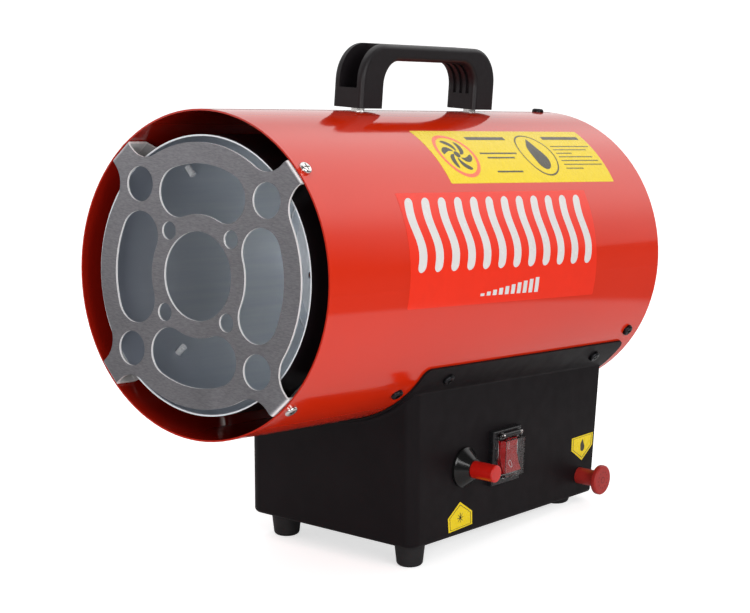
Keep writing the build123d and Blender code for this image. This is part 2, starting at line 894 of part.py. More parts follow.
valve_spot = outlet_plane.to_local_coords(Vector(0, valve_y, valve_z))
valve_depth = -valve_spot.Z
valve_level = valve_spot.Y
# The valve lies across the base: z points out of the control panel, x to the rear, y up.
valve_plane = Plane(
    origin=(base_half_width, valve_y, valve_z), x_dir=rear_direction, z_dir=(1, 0, 0)
)
valve_block_plane = valve_plane.offset(valve_outer_x - base_half_width)
inlet_length = rear_corner_depth - valve_depth - base_wall - valve_half

with BuildPart() as valve_body:
    with BuildSketch(valve_block_plane):
        Rectangle(2 * valve_half, 2 * valve_half)
    extrude(amount=-valve_body_length)
    chamfer(valve_body.edges(), length=block_chamfer)
    cut_round(valve_block_plane, valve_well_radius, valve_well_depth)
    cut_round(valve_block_plane, inlet_bore, valve_body_length - base_wall)
    valve_top = up_plane(valve_outlet_x, valve_depth, valve_level + valve_half)
    cut_round(valve_top, pipe_radius + pipe_fit, pipe_socket_depth)
finish(valve_body.part, "valve_body")

with BuildPart() as valve_bonnet:
    with BuildSketch(valve_block_plane):
        Circle(valve_neck_radius)
    extrude(amount=panel_inner - valve_outer_x)
    pierce(valve_plane.offset(-base_wall), valve_stem_radius + running_gap, valve_neck_length)
    cut_round(valve_block_plane.offset(valve_step), valve_well_radius, valve_step)
finish(valve_bonnet.part, "valve_bonnet")

valve_tip_plane = valve_plane.offset(valve_protrusion)
valve_shoulder = valve_outer_x + valve_step - curved_gap - base_half_width
with BuildPart() as valve_knob:
    with BuildSketch(valve_tip_plane):
        Circle(valve_cap_radius)
    extrude(amount=-valve_cap_thickness)
    fillet(valve_knob.edges(), radius=valve_cap_edge)
    with BuildSketch(valve_tip_plane.offset(-valve_cap_thickness / 2)):
        Circle(valve_stem_radius)
    extrude(amount=valve_shoulder - valve_protrusion + valve_cap_thickness / 2)
    with BuildSketch(valve_plane.offset(valve_shoulder)):
        Circle(valve_well_radius - curved_gap)
    extrude(amount=-valve_step)
    with BuildSketch(valve_plane.offset(valve_shoulder - valve_step)):
        Circle(valve_stem_radius / 2)
    extrude(amount=-valve_well_depth / 2)
finish(valve_knob.part, "valve_knob")

with BuildPart() as valve_spring:
    spring_end = valve_shoulder - valve_step + base_half_width - valve_outer_x
    spring_seat = valve_block_plane.offset(spring_end_gap - valve_well_depth)
    add_coil(spring_seat, spring_end + valve_well_depth - 2 * spring_end_gap, valve_spring_radius)
finish(valve_spring.part, "valve_spring")

with BuildPart() as magnet_unit:
    with BuildSketch(valve_block_plane.offset(-valve_body_length)):
        Circle(magnet_radius)
    extrude(amount=-magnet_length)
    chamfer(magnet_unit.edges(), length=block_chamfer)
finish(magnet_unit.part, "magnet_unit")

inlet_plane = Plane(
    origin=Vector(valve_outlet_x, valve_y, valve_z) + rear_direction * valve_half,
    x_dir=(1, 0, 0),
    z_dir=rear_direction,
)
inlet_end = inlet_length + base_wall + inlet_reach
with BuildPart() as gas_inlet:
    with BuildSketch(inlet_plane):
        RegularPolygon(radius=inlet_hex_flats / 2, side_count=6, major_radius=False)
    extrude(amount=inlet_length)
    with BuildSketch(inlet_plane):
        Circle(inlet_thread_radius)
    extrude(amount=inlet_end)
    chamfer(
        gas_inlet.faces().sort_by(Axis(inlet_plane.origin, rear_direction))[-1].edges(),
        length=inlet_chamfer,
    )
    # relief behind the lock nut, where the hose's thread ends
    with BuildSketch(inlet_plane.offset(inlet_length + base_wall + inlet_nut_thickness)):
        Circle(inlet_nut_flats / 2)
        Circle(inlet_relief_radius, mode=Mode.SUBTRACT)
    extrude(amount=inlet_relief_width, mode=Mode.SUBTRACT)
    pierce(inlet_plane.offset(inlet_end), inlet_bore, inlet_end)
finish(gas_inlet.part, "gas_inlet")

with BuildPart() as inlet_nut:
    add_hex_nut(
        inlet_plane.offset(inlet_length + base_wall),
        inlet_nut_flats,
        inlet_nut_thickness,
        inlet_thread_radius + running_gap,
    )
finish(inlet_nut.part, "inlet_nut")

pipe_start_level = valve_level + valve_half - pipe_insertion
pipe_end_level = pipe_insertion - jet_holder_drop
# The pipe crosses midway between the valve's nut and the tube.
pipe_level = (valve_level + valve_half + pipe_nut_length - casing_radius) / 2
with BuildPart() as gas_pipe:
    with BuildLine():
        FilletPolyline(
            tube_point(valve_outlet_x, valve_depth, pipe_start_level),
            tube_point(valve_outlet_x, valve_depth, pipe_level),
            tube_point(0, pipe_riser_depth, pipe_level),
            tube_point(0, pipe_riser_depth, pipe_end_level),
            radius=pipe_bend_radius,
        )
    with BuildSketch(up_plane(valve_outlet_x, valve_depth, pipe_start_level)):
        Circle(pipe_radius)
        Circle(pipe_bore, mode=Mode.SUBTRACT)
    sweep()
finish(gas_pipe.part, "gas_pipe")

with BuildPart() as pipe_nuts:
    for x, depth, level in (
        (valve_outlet_x, valve_depth, valve_level + valve_half),
        (0, pipe_riser_depth, -jet_holder_drop - pipe_nut_length),
    ):
        add_hex_nut(up_plane(x, depth, level), 2 * pipe_nut_radius, pipe_nut_length, pipe_radius + pipe_fit)
finish(pipe_nuts.part, "pipe_nuts")

# ---------------------------------------------------------------- base box

flange_end_depth = rear_corner_depth + lip_reach


def tube_level(point):
    """Height of a point above the tube's axis, square to it."""
    return outlet_plane.to_local_coords(point).Y


def add_base_form(inset, floor_inset, rear_inset):
    """Block of the base box's outer shape, drawn in from its sides, floor and rear."""
    front_y = base_front_y + inset
    on_rear = rear_corner - rear_direction * rear_inset
    rise = base_floor_z(on_rear.Y) + floor_inset - on_rear.Z
    rear_foot = on_rear + axis_up * (rise / (cos(tilt) + sin(tilt) * tan(pitch)))
    rear_top = on_rear + axis_up * axis_height
    with BuildSketch(Plane.YZ) as side:
        Polygon(
            (front_y, base_floor_z(front_y) + floor_inset),
            (rear_foot.Y, rear_foot.Z),
            (rear_top.Y, rear_top.Z),
            (front_y, axis_height),
            align=None,
        )
    extrude(side.sketch, amount=base_half_width - inset, both=True)


with BuildPart() as base_form:
    add_base_form(0, 0, base_wall)
    fillet(base_form.edges().filter_by(Axis.Z), radius=base_corner_radius)
    fillet(base_form.faces().sort_by(Axis.Z)[0].edges().sort_by(Axis.Y)[:-1], radius=base_edge_radius)

with BuildPart() as base_cavity:
    add_base_form(base_wall, base_wall, 2 * base_wall)
    fillet(base_cavity.edges().filter_by(Axis.Z), radius=base_corner_radius - base_wall)
    fillet(
        base_cavity.faces().sort_by(Axis.Z)[0].edges().sort_by(Axis.Y)[:-1],
        radius=base_edge_radius - base_wall,
    )

with BuildPart() as base_band:
    with BuildSketch(depth_plane(0)):
        Circle(flange_outer)
        Circle(flange_inner, mode=Mode.SUBTRACT)
        keep = 2 * flange_outer
        wedge = radians(-flange_top_angle)
        Polygon(
            (0, 0),
            (keep * cos(wedge), -keep * sin(wedge)),
            (keep, -2 * keep),
            (-keep, -2 * keep),
            (-keep * cos(wedge), -keep * sin(wedge)),
            align=None,
            mode=Mode.INTERSECT,
        )
    extrude(amount=-flange_end_depth)
    split(bisect_by=Plane.XZ.offset(-(base_front_y - lip_reach)), keep=Keep.BOTTOM)
    inner_y = base_front_y + base_wall
    with BuildSketch(Plane.XY):
        with Locations((0, inner_y + casing_length / 2)):
            RectangleRounded(2 * panel_inner, casing_length, base_corner_radius - base_wall)
    extrude(amount=axis_height, mode=Mode.SUBTRACT)
    radial_edges = [e for e in base_band.edges() if abs(e.length - lip_sheet) < edge_match * lip_sheet]
    top_level = (flange_inner + lip_sheet / 2) * sin(radians(flange_top_angle))
    top_edges = [e for e in radial_edges if abs(tube_level(e.center()) - top_level) < edge_match * lip_sheet]
    fillet([e for e in top_edges if e.center().Y < 0], radius=flange_front_radius)
    fillet([e for e in top_edges if e.center().Y > 0], radius=flange_rear_radius)

foot_x = base_half_width - foot_inset_x
front_foot_spots = [(x, base_front_y + foot_inset_y) for x in (-foot_x, foot_x)]
rear_foot_spots = [(x, base_rear_y - foot_inset_y) for x in (-foot_x, foot_x)]
rear_screw_x = panel_inner - rear_return / 2
return_top = panel_arch_level - sqrt(flange_inner**2 - rear_screw_x**2)
rear_screw_levels = (rear_screw_inset, return_top - rear_screw_inset)
rear_panel_screw_spots = [(x, y) for x in (-rear_screw_x, rear_screw_x) for y in rear_screw_levels]


def foot_plane(x, y):
    """Plane on the base's underside at this spot, its Z square to the base's floor."""
    return Plane(origin=(x, y, base_floor_z(y)), x_dir=(1, 0, 0), z_dir=floor_plane.z_dir)


def is_bend(edge):
    """True for the outside corners where the box's walls turn out into the band under the tube."""
    spots = [outlet_plane.to_local_coords(edge @ t) for t in (0, 0.25, 0.5, 1)]
    on_band = all(abs(hypot(spot.X, spot.Y) - flange_outer) < edge_match * lip_sheet for spot in spots)
    middle = edge @ 0.5
    on_walls = abs(middle.X) < base_half_width + edge_match and middle.Y > base_front_y - edge_match
    return on_band and on_walls and -spots[2].Z < rear_corner_depth - 2 * base_wall


with BuildPart() as base_shell:
    add(base_form.part)
    add(base_cavity.part, mode=Mode.SUBTRACT)
    # rear opening, between the two returns that carry the rear panel
    with BuildSketch(rear_plane):
        with Locations((0, base_wall + axis_height / 2)):
            Rectangle(2 * (base_half_width - base_wall - rear_return), axis_height)
    extrude(amount=-3 * rear_return, mode=Mode.SUBTRACT)
    # floor opening, inside the rim
    with BuildSketch(floor_plane):
        with Locations((0, floor_length / 2)):
            Rectangle(2 * (base_half_width - base_rim_width), floor_length - 2 * base_rim_width)
    extrude(amount=2 * base_wall, both=True, mode=Mode.SUBTRACT)
    with BuildSketch(depth_plane(0)):
        Circle(flange_inner)
    extrude(amount=-casing_length, mode=Mode.SUBTRACT)
    add(base_band.part)
    fillet([e for e in base_shell.edges() if is_bend(e)], radius=base_bend_radius)
    for angle in flange_angles:
        for depth in flange_screw_depths:
            pierce(radial_plane(angle, depth, flange_outer), m4_hole, lip_sheet)
    pierce(panel_plane(igniter_y, igniter_z), igniter_barrel_radius + hole_gap, base_wall)
    pierce(panel_plane(valve_y, valve_z), valve_stem_radius + hole_gap, base_wall)
    with BuildSketch(panel_plane(switch_y, switch_z)):
        Rectangle(switch_body_width + 2 * curved_gap, switch_body_height + 2 * curved_gap)
    extrude(amount=-base_wall - cut_lead, mode=Mode.SUBTRACT)
    for x, level in rear_panel_screw_spots:
        pierce(spot_plane(rear_plane, x, level), m4_hole, 2 * base_wall)
    for x, y in front_foot_spots + rear_foot_spots:
        pierce(foot_plane(x, y).offset(base_wall), m4_hole, base_wall)
finish(base_shell.part, "base_shell")

with BuildPart() as base_floor:
    floor_inset = base_wall + base_edge_radius
    with BuildSketch(floor_plane.offset(base_wall)):
        with Locations((0, floor_length / 2)):
            RectangleRounded(
                2 * (base_half_width - floor_inset),
                floor_length - 2 * floor_inset,
                base_corner_radius - base_wall,
            )
    extrude(amount=floor_sheet)
    for x, y in front_foot_spots + rear_foot_spots:
        pierce(foot_plane(x, y).offset(base_wall + floor_sheet), m4_hole, floor_sheet)
finish(base_floor.part, "base_floor")

inlet_spot = rear_plane.to_local_coords(inlet_plane.origin)
with BuildPart() as rear_panel:
    with BuildSketch(rear_plane) as panel_face:
        with Locations((0, panel_arch_level / 2)):
            Rectangle(2 * base_half_width, panel_arch_level)
        fillet(panel_face.vertices().sort_by(Axis.Y)[:2], radius=base_edge_radius)
        with Locations((0, panel_arch_level)):
            Circle(flange_inner, mode=Mode.SUBTRACT)
    extrude(amount=-base_wall)
    lip_half = panel_inner - curved_gap
    with BuildSketch(rear_plane):
        with Locations((0, panel_arch_level)):
            Circle(flange_outer + curved_gap)
        Rectangle(2 * lip_half, 4 * panel_arch_level, mode=Mode.SUBTRACT)
    extrude(amount=-base_wall, mode=Mode.SUBTRACT)
    with BuildSketch(rear_plane) as lip_face:
        with Locations((0, panel_arch_level)):
            Circle(flange_outer)
            Circle(flange_inner, mode=Mode.SUBTRACT)
        Rectangle(2 * lip_half, 2 * panel_arch_level, mode=Mode.INTERSECT)
    extrude(amount=lip_reach)
    for x, level in rear_panel_screw_spots:
        pierce(spot_plane(rear_plane, x, level), m4_hole, base_wall)
    inlet_hole = spot_plane(rear_plane, inlet_spot.X, inlet_spot.Y)
    pierce(inlet_hole, inlet_thread_radius + hole_gap, base_wall)
    pierce(spot_plane(rear_plane, -gland_x, gland_level), gland_thread_radius + hole_gap, base_wall)
finish(rear_panel.part, "rear_panel")

with BuildPart() as casing_screws:
    for angle in support_angles:
        seat = radial_plane(angle, support_depth, casing_radius)
        add_screw(seat, m4_screw, casing_radius - chamber_inner + screw_end_gap)
    for angle in flange_angles:
        for depth in flange_screw_depths:
            add_screw(radial_plane(angle, depth, flange_outer), m4_screw, screw_length)
    for angle in leg_angles:
        add_screw(radial_plane(angle, rear_screw_depth, casing_radius), m4_screw, screw_length)
    for x, level in rear_panel_screw_spots:
        add_screw(spot_plane(rear_plane, x, level), m4_screw, panel_screw_length)
finish(casing_screws.part, "casing_screws")


def add_foot(x, y, grip):
    """Tapered rubber foot from the ground up to the base's sloping floor."""
    height = base_floor_z(y)
    with BuildSketch(Plane(origin=(x, y, 0), x_dir=(1, 0, 0), z_dir=(0, -1, 0))) as profile:
        Polygon(
            (0, 0),
            (foot_bottom_radius, 0),
            (foot_top_radius, height - cut_lead),
            (foot_top_radius, height + cut_lead),
            (0, height + cut_lead),
            align=None,
        )
        corner = profile.vertices().filter_by(lambda v: v.Y < cut_lead and v.X > foot_bottom_radius / 2)
        fillet(corner, radius=foot_edge_radius)
    revolve(profile.sketch, axis=Axis((x, y, 0), (0, 0, 1)))
    with BuildSketch(foot_plane(x, y)) as above:
        Circle(2 * foot_top_radius)
    extrude(above.sketch, amount=foot_top_radius, mode=Mode.SUBTRACT)
    cut_round(foot_plane(x, y), m4_hole, grip)


with BuildPart() as front_feet:
    for x, y in front_foot_spots:
        add_foot(x, y, front_foot_grip)
finish(front_feet.part, "front_feet")

with BuildPart() as rear_feet:
    for x, y in rear_foot_spots:
        add_foot(x, y, rear_foot_grip)
finish(rear_feet.part, "rear_feet")

with BuildPart() as foot_screws:
    head_seat = base_wall + floor_sheet
    for spots, grip in ((front_foot_spots, front_foot_grip), (rear_foot_spots, rear_foot_grip)):
        for x, y in spots:
            add_screw(foot_plane(x, y).offset(head_seat), m4_screw, head_seat + grip - screw_tip_gap)
finish(foot_screws.part, "foot_screws")

# ---------------------------------------------------------------- igniter

igniter_plane = panel_plane(igniter_y, igniter_z)
igniter_end = -igniter_barrel_length
piezo_back = igniter_end + igniter_floor

with BuildPart() as igniter_body:
    with BuildSketch(section_through(igniter_plane)):
        Polygon(
            (igniter_button_radius + running_gap, igniter_nose_length),
            (igniter_nose_radius, igniter_nose_length),
            (igniter_rim_radius - igniter_rim_edge, igniter_rim_thickness),
            (igniter_rim_radius, igniter_rim_thickness - igniter_rim_edge),
            (igniter_rim_radius, 0),
            (igniter_barrel_radius, 0),
            (igniter_barrel_radius, igniter_end),
            (0, igniter_end),
            (0, piezo_back),
            (igniter_well_radius, piezo_back),
            (igniter_well_radius, -igniter_step),
            (igniter_button_radius + running_gap, -igniter_step),
            align=None,
        )
    revolve(axis=Axis(igniter_plane.origin, (1, 0, 0)))
    with BuildSketch(igniter_plane.offset(igniter_end)):
        Rectangle(blade_thickness, blade_width)
    extrude(amount=-blade_length)
finish(igniter_body.part, "igniter_body")

igniter_shoulder = -igniter_step - curved_gap
with BuildPart() as igniter_button:
    with BuildSketch(igniter_plane.offset(igniter_protrusion)):
        Circle(igniter_button_radius)
    extrude(amount=igniter_shoulder - igniter_protrusion)
    fillet(igniter_button.edges().sort_by(Axis.X)[-1], radius=igniter_button_edge)
    with BuildSketch(igniter_plane.offset(igniter_shoulder)):
        Circle(igniter_well_radius - curved_gap)
    extrude(amount=-igniter_collar_thickness)
    with BuildSketch(igniter_plane.offset(igniter_shoulder - igniter_collar_thickness)):
        Circle(igniter_button_radius / 2)
    extrude(amount=-piezo_pin_length)
finish(igniter_button.part, "igniter_button")

with BuildPart() as piezo_unit:
    with BuildSketch(igniter_plane.offset(piezo_back)):
        Circle(igniter_well_radius - curved_gap)
    extrude(amount=piezo_length)
    chamfer(piezo_unit.edges(), length=block_chamfer)
finish(piezo_unit.part, "piezo_unit")

with BuildPart() as igniter_spring:
    spring_back = piezo_back + piezo_length + spring_end_gap
    spring_front = igniter_shoulder - igniter_collar_thickness - spring_end_gap
    add_coil(igniter_plane.offset(spring_back), spring_front - spring_back, igniter_spring_radius)
finish(igniter_spring.part, "igniter_spring")

with BuildPart() as igniter_nut:
    nut_plane = igniter_plane.offset(-base_wall - igniter_nut_thickness)
    add_hex_nut(nut_plane, igniter_nut_flats, igniter_nut_thickness, igniter_barrel_radius + running_gap)
finish(igniter_nut.part, "igniter_nut")

# ---------------------------------------------------------------- switch

switch_plane = panel_plane(switch_y, switch_z)
# In the switch's side view, x is up along the panel and y is out of it.
switch_side = Plane(origin=switch_plane.origin, x_dir=switch_plane.y_dir, z_dir=switch_plane.x_dir)
pivot_rise = bezel_thickness - rocker_pivot_depth
hinge_rise = bezel_thickness + cover_hinge_rise
rocker_reach = hypot(rocker_half_height, rocker_proud + rocker_pivot_depth)
cavity_half = rocker_reach + rocker_gap
ear_inner = cover_width / 2 - cover_ear_width
knuckle_half = ear_inner - curved_gap

with BuildPart() as switch_body:
    with BuildSketch(switch_plane):
        Rectangle(bezel_width, bezel_height)
    extrude(amount=bezel_thickness)
    fillet(switch_body.faces().sort_by(Axis.X)[-1].edges(), radius=bezel_edge)
    with BuildSketch(switch_plane):
        Rectangle(switch_body_width, switch_body_height)
    extrude(amount=-switch_body_depth)
    with BuildSketch(switch_plane.offset(bezel_thickness)):
        Rectangle(rocker_width + 2 * curved_gap, 2 * cavity_half)
    extrude(amount=-rocker_cavity_depth, mode=Mode.SUBTRACT)
    with BuildSketch(switch_side):
        with Locations((cover_hinge_offset, hinge_rise / 2)):
            Rectangle(2 * cover_knuckle_radius, hinge_rise)
        with Locations((cover_hinge_offset, hinge_rise)):
            Circle(cover_knuckle_radius)
    extrude(amount=knuckle_half, both=True)
    with BuildSketch(switch_side):
        with Locations((cover_hinge_offset, hinge_rise)):
            Circle(cover_pin_radius + running_gap)
        with Locations((0, pivot_rise)):
            Circle(rocker_pin_radius + running_gap)
    extrude(amount=cover_width / 2 + running_gap, both=True, mode=Mode.SUBTRACT)
finish(switch_body.part, "switch_body")

with BuildPart() as switch_pins:
    with BuildSketch(switch_side):
        with Locations((0, pivot_rise)):
            Circle(rocker_pin_radius)
    extrude(amount=cover_width / 2, both=True)
    with BuildSketch(switch_side):
        with Locations((cover_hinge_offset, hinge_rise)):
            Circle(cover_pin_radius)
    extrude(amount=cover_width / 2, both=True)
finish(switch_pins.part, "switch_pins")

with BuildPart() as switch_rocker:
    front_rise = rocker_proud + rocker_pivot_depth
    dish_rise = rocker_dish + rocker_pivot_depth
    with BuildSketch(switch_side):
        with Locations(Location((0, pivot_rise, 0), (0, 0, -rocker_swing))):
            Polygon(
                (rocker_half_height, front_rise),
                (rocker_half_height / 2, dish_rise + rocker_belly),
                (0, dish_rise),
                (-rocker_half_height / 2, dish_rise + rocker_belly),
                (-rocker_half_height, front_rise),
                (-rocker_half_height, rocker_belly),
                (-rocker_half_height / 2, -rocker_keel),
                (rocker_half_height / 2, -rocker_keel),
                (rocker_half_height, rocker_belly),
                align=None,
            )
            Circle(rocker_pin_radius + running_gap, mode=Mode.SUBTRACT)
    extrude(amount=rocker_width / 2, both=True)
finish(switch_rocker.part, "switch_rocker")

with BuildPart() as switch_cover:
    cover_lift = bezel_thickness + curved_gap
    with BuildSketch(switch_plane.offset(cover_lift)):
        Rectangle(cover_width, cover_height)
    extrude(amount=cover_rise - curved_gap)
    outer_edges = switch_cover.edges().filter_by(Axis.X) + switch_cover.faces().sort_by(Axis.X)[-1].edges()
    fillet(outer_edges, radius=cover_edge)
    with BuildSketch(switch_plane.offset(cover_lift)):
        Rectangle(cover_width - 2 * cover_wall, cover_height - 2 * cover_wall)
    extrude(amount=cover_rise - curved_gap - cover_wall, mode=Mode.SUBTRACT)
    for side in (-1, 1):
        with BuildSketch(switch_side.offset(side * (ear_inner + cover_ear_width / 2))):
            with Locations(((cover_height / 2 - cover_wall / 2 + cover_hinge_offset) / 2, hinge_rise)):
                Rectangle(cover_hinge_offset - cover_height / 2 + cover_wall / 2, cover_knuckle_radius)
            with Locations((cover_hinge_offset, hinge_rise)):
                Circle(cover_knuckle_radius)
        extrude(amount=cover_ear_width / 2, both=True)
    with BuildSketch(switch_side):
        with Locations((cover_hinge_offset, hinge_rise)):
            Circle(cover_pin_radius + running_gap)
    extrude(amount=cover_width, both=True, mode=Mode.SUBTRACT)
finish(switch_cover.part, "switch_cover")

with BuildPart() as switch_blades:
    with BuildSketch(switch_plane.offset(-switch_body_depth)):
        with GridLocations(switch_body_width / 2, switch_body_height / 2, 2, 2):
            Rectangle(blade_thickness, blade_width)
    extrude(amount=-blade_length)
finish(switch_blades.part, "switch_blades")

# ---------------------------------------------------------------- rear guard and motor

bracket_outer = casing_inner - curved_gap
bracket_inner = bracket_outer - bracket_sheet
guard_outer_radius = casing_inner - guard_edge_gap

with BuildPart() as rear_guard:
    ring_step = guard_outer_radius / guard_rings
    for ring in range(guard_rings):
        with Locations(depth_plane(guard_depth).location):
            Torus(major_radius=ring_step * (ring + 1), minor_radius=guard_wire_radius)
    spoke_depth = guard_depth - 1.4 * guard_wire_radius
    for spoke in range(guard_spokes):
        spoke_angle = 90 + 360 / guard_spokes * spoke
        with BuildSketch(radial_plane(spoke_angle, spoke_depth, guard_outer_radius)):
            Circle(guard_wire_radius)
        extrude(amount=ring_step - guard_outer_radius)
    tab_back = guard_depth + guard_tab_sheet / 2
    tab_front = rear_screw_depth - guard_tab_width / 2
    face_radius = bracket_inner - guard_tab_gap
    tab_inner = face_radius - guard_tab_sheet
    for angle in leg_angles:
        with BuildSketch(radial_section(angle)):
            Polygon(
                (guard_outer_radius, -tab_back),
                (face_radius, -tab_back),
                (face_radius, -tab_front),
                (tab_inner, -tab_front),
                (tab_inner, guard_tab_sheet - tab_back),
                (guard_outer_radius, guard_tab_sheet - tab_back),
                align=None,
            )
        extrude(amount=guard_tab_width / 2, both=True)
        pierce(radial_plane(angle, rear_screw_depth, face_radius), m4_hole, guard_tab_sheet)
finish(rear_guard.part, "rear_guard")

with BuildPart() as motor_bracket:
    with BuildSketch(depth_plane(bracket_depth)):
        Circle(bracket_disc_radius)
        for angle in leg_angles:
            with PolarLocations(bracket_outer / 2, 1, start_angle=angle):
                Rectangle(bracket_outer, bracket_leg_width)
        Circle(bracket_outer, mode=Mode.INTERSECT)
        with Locations((0, 0)):
            Circle(bearing_radius + bearing_gap, mode=Mode.SUBTRACT)
        with Locations((-motor_bolt_offset, 0), (motor_bolt_offset, 0)):
            Circle(m4_hole, mode=Mode.SUBTRACT)
    extrude(amount=-bracket_sheet)
    with BuildSketch(depth_plane(bracket_depth)):
        for angle in leg_angles:
            with PolarLocations(bracket_outer - bracket_leg_width / 2, 1, start_angle=angle):
                Rectangle(bracket_leg_width, bracket_leg_width)
        Circle(bracket_outer, mode=Mode.INTERSECT)
        with Locations((0, 0)):
            Circle(bracket_inner, mode=Mode.SUBTRACT)
    extrude(amount=-bracket_tab_length)
    for angle in leg_angles:
        pierce(radial_plane(angle, rear_screw_depth, bracket_outer), m4_hole, bracket_sheet)
finish(motor_bracket.part, "motor_bracket")

stack_front = motor_depth - stack_length / 2
stack_back = motor_depth + stack_length / 2
coil_window_bottom = stator_bottom + coil_core_height

with BuildPart() as motor_stator:
    with BuildSketch(depth_plane(stack_front)):
        with Locations((0, (stator_top + stator_bottom) / 2)):
            Rectangle(2 * stator_half_width, stator_top - stator_bottom)
        Circle(stator_bore_radius, mode=Mode.SUBTRACT)
        with Locations((0, (window_top + coil_window_bottom) / 2)):
            Rectangle(2 * window_half_width, window_top - coil_window_bottom, mode=Mode.SUBTRACT)
        with Locations((-motor_bolt_offset, 0), (motor_bolt_offset, 0)):
            Circle(m4_hole, mode=Mode.SUBTRACT)
    extrude(amount=-stack_length)
    chamfer(motor_stator.edges().filter_by(tube_axis).sort_by(Axis.Z)[-2:], length=stator_chamfer)
finish(motor_stator.part, "motor_stator")

with BuildPart() as motor_coil:
    coil_top = window_top - coil_gap
    coil_bottom = stator_bottom - coil_side
    coil_half = window_half_width - coil_gap
    with BuildSketch(depth_plane(stack_front - coil_overhang)):
        with Locations((0, (coil_top + coil_bottom) / 2)):
            RectangleRounded(2 * coil_half, coil_top - coil_bottom, coil_corner)
    extrude(amount=-stack_length - 2 * coil_overhang)
    with BuildSketch(Plane(origin=tube_point(0, motor_depth, 0), x_dir=rear_direction, z_dir=(1, 0, 0))):
        with Locations((0, (coil_window_bottom + stator_bottom) / 2)):
            Rectangle(stack_length + 2 * curved_gap, coil_core_height + 2 * curved_gap)
    extrude(amount=stator_half_width, both=True, mode=Mode.SUBTRACT)
finish(motor_coil.part, "motor_coil")


def add_end_bracket(bar_front, stand, hub_ends):
    """Bearing bar across the motor with two stand-offs and a hub, each between two depths."""
    stand_front, stand_back = stand
    hub_front, hub_back = hub_ends
    with BuildSketch(depth_plane(bar_front)) as bar:
        SlotOverall(2 * stator_half_width, motor_bar_height)
    extrude(bar.sketch, amount=-motor_bar_thickness)
    with BuildSketch(depth_plane(stand_front)) as stands:
        with Locations((-motor_bolt_offset, 0), (motor_bolt_offset, 0)):
            Circle(motor_stand_radius)
    extrude(stands.sketch, amount=stand_front - stand_back)
    with BuildSketch(depth_plane(hub_front)) as hub:
        Circle(bearing_radius)
    extrude(hub.sketch, amount=hub_front - hub_back)
    pierce(depth_plane(hub_front), shaft_radius + running_gap, hub_back - hub_front)
    for angle in (0, 180):
        pierce(axial_plane(angle, motor_bolt_offset, stand_front), m4_hole, stand_back - stand_front)


with BuildPart() as motor_end_brackets:
    front_bar = stack_front - motor_bar_standoff - motor_bar_thickness
    rear_bar = stack_back + motor_bar_standoff
    front_hub = (front_bar - bearing_length, stack_front - bearing_gap)
    rear_hub = (stack_back + bearing_gap, bracket_depth - curved_gap)
    add_end_bracket(front_bar, (front_bar, stack_front), front_hub)
    add_end_bracket(rear_bar, (stack_back, bracket_depth), rear_hub)
finish(motor_end_brackets.part, "motor_end_brackets")

with BuildPart() as motor_bolts:
    nut_flats, nut_height = m4_nut
    bracket_back = bracket_depth + bracket_sheet
    for angle in (0, 180):
        bolt_seat = axial_plane(angle, motor_bolt_offset, front_bar)
        add_screw(bolt_seat, m4_screw, bracket_back + motor_bolt_end - front_bar)
        nut_seat = axial_plane(angle, motor_bolt_offset, bracket_back + nut_height)
        add_hex_nut(nut_seat, nut_flats, nut_height, m4_screw[2] + running_gap)
finish(motor_bolts.part, "motor_bolts")

with BuildPart() as motor_rotor:
    core_front = stack_front + rotor_ring_length
    core_back = stack_back - rotor_ring_length
    rotor_bore = shaft_radius + running_gap
    add_tube(depth_plane(core_front), rotor_radius, rotor_bore, core_back - core_front)
    for front in (stack_front, core_back):
        add_tube(depth_plane(front), rotor_radius - rotor_ring_width, rotor_bore, rotor_ring_length)
finish(motor_rotor.part, "motor_rotor")

with BuildPart() as motor_shaft:
    with BuildSketch(depth_plane(shaft_front_depth)):
        Circle(shaft_radius)
    extrude(amount=shaft_front_depth - bracket_depth - shaft_tail)
    chamfer(motor_shaft.edges(), length=shaft_chamfer)
finish(motor_shaft.part, "motor_shaft")

fan_front = fan_depth - fan_hub_length / 2
fan_tip_radius = casing_inner - fan_tip_gap
with BuildPart() as fan_impeller:
    with BuildSketch(depth_plane(fan_front)):
        Circle(fan_hub_radius)
    extrude(amount=-fan_hub_length)
    fillet(fan_impeller.edges(), radius=fan_hub_edge)
    for blade in range(fan_blades):
        blade_angle = 360 / fan_blades * blade
        with BuildSketch(radial_plane(blade_angle, fan_depth, fan_hub_radius - blade_root_sink)):
            Rectangle(blade_sheet, blade_root_chord, rotation=90 - blade_root_pitch)
        with BuildSketch(radial_plane(blade_angle, fan_depth, fan_tip_radius)):
            Rectangle(blade_sheet, blade_tip_chord, rotation=90 - blade_tip_pitch)
        loft()
    pierce(depth_plane(fan_front), shaft_radius + running_gap, fan_hub_length)
finish(fan_impeller.part, "fan_impeller")

with BuildPart() as fan_nut:
    add_hex_nut(depth_plane(fan_front), fan_nut_flats, fan_nut_thickness, shaft_radius + running_gap)
finish(fan_nut.part, "fan_nut")

# ---------------------------------------------------------------- handle

handle_middle = (handle_front_depth + handle_rear_depth) / 2
grip_level = handle_top_level - handle_grip

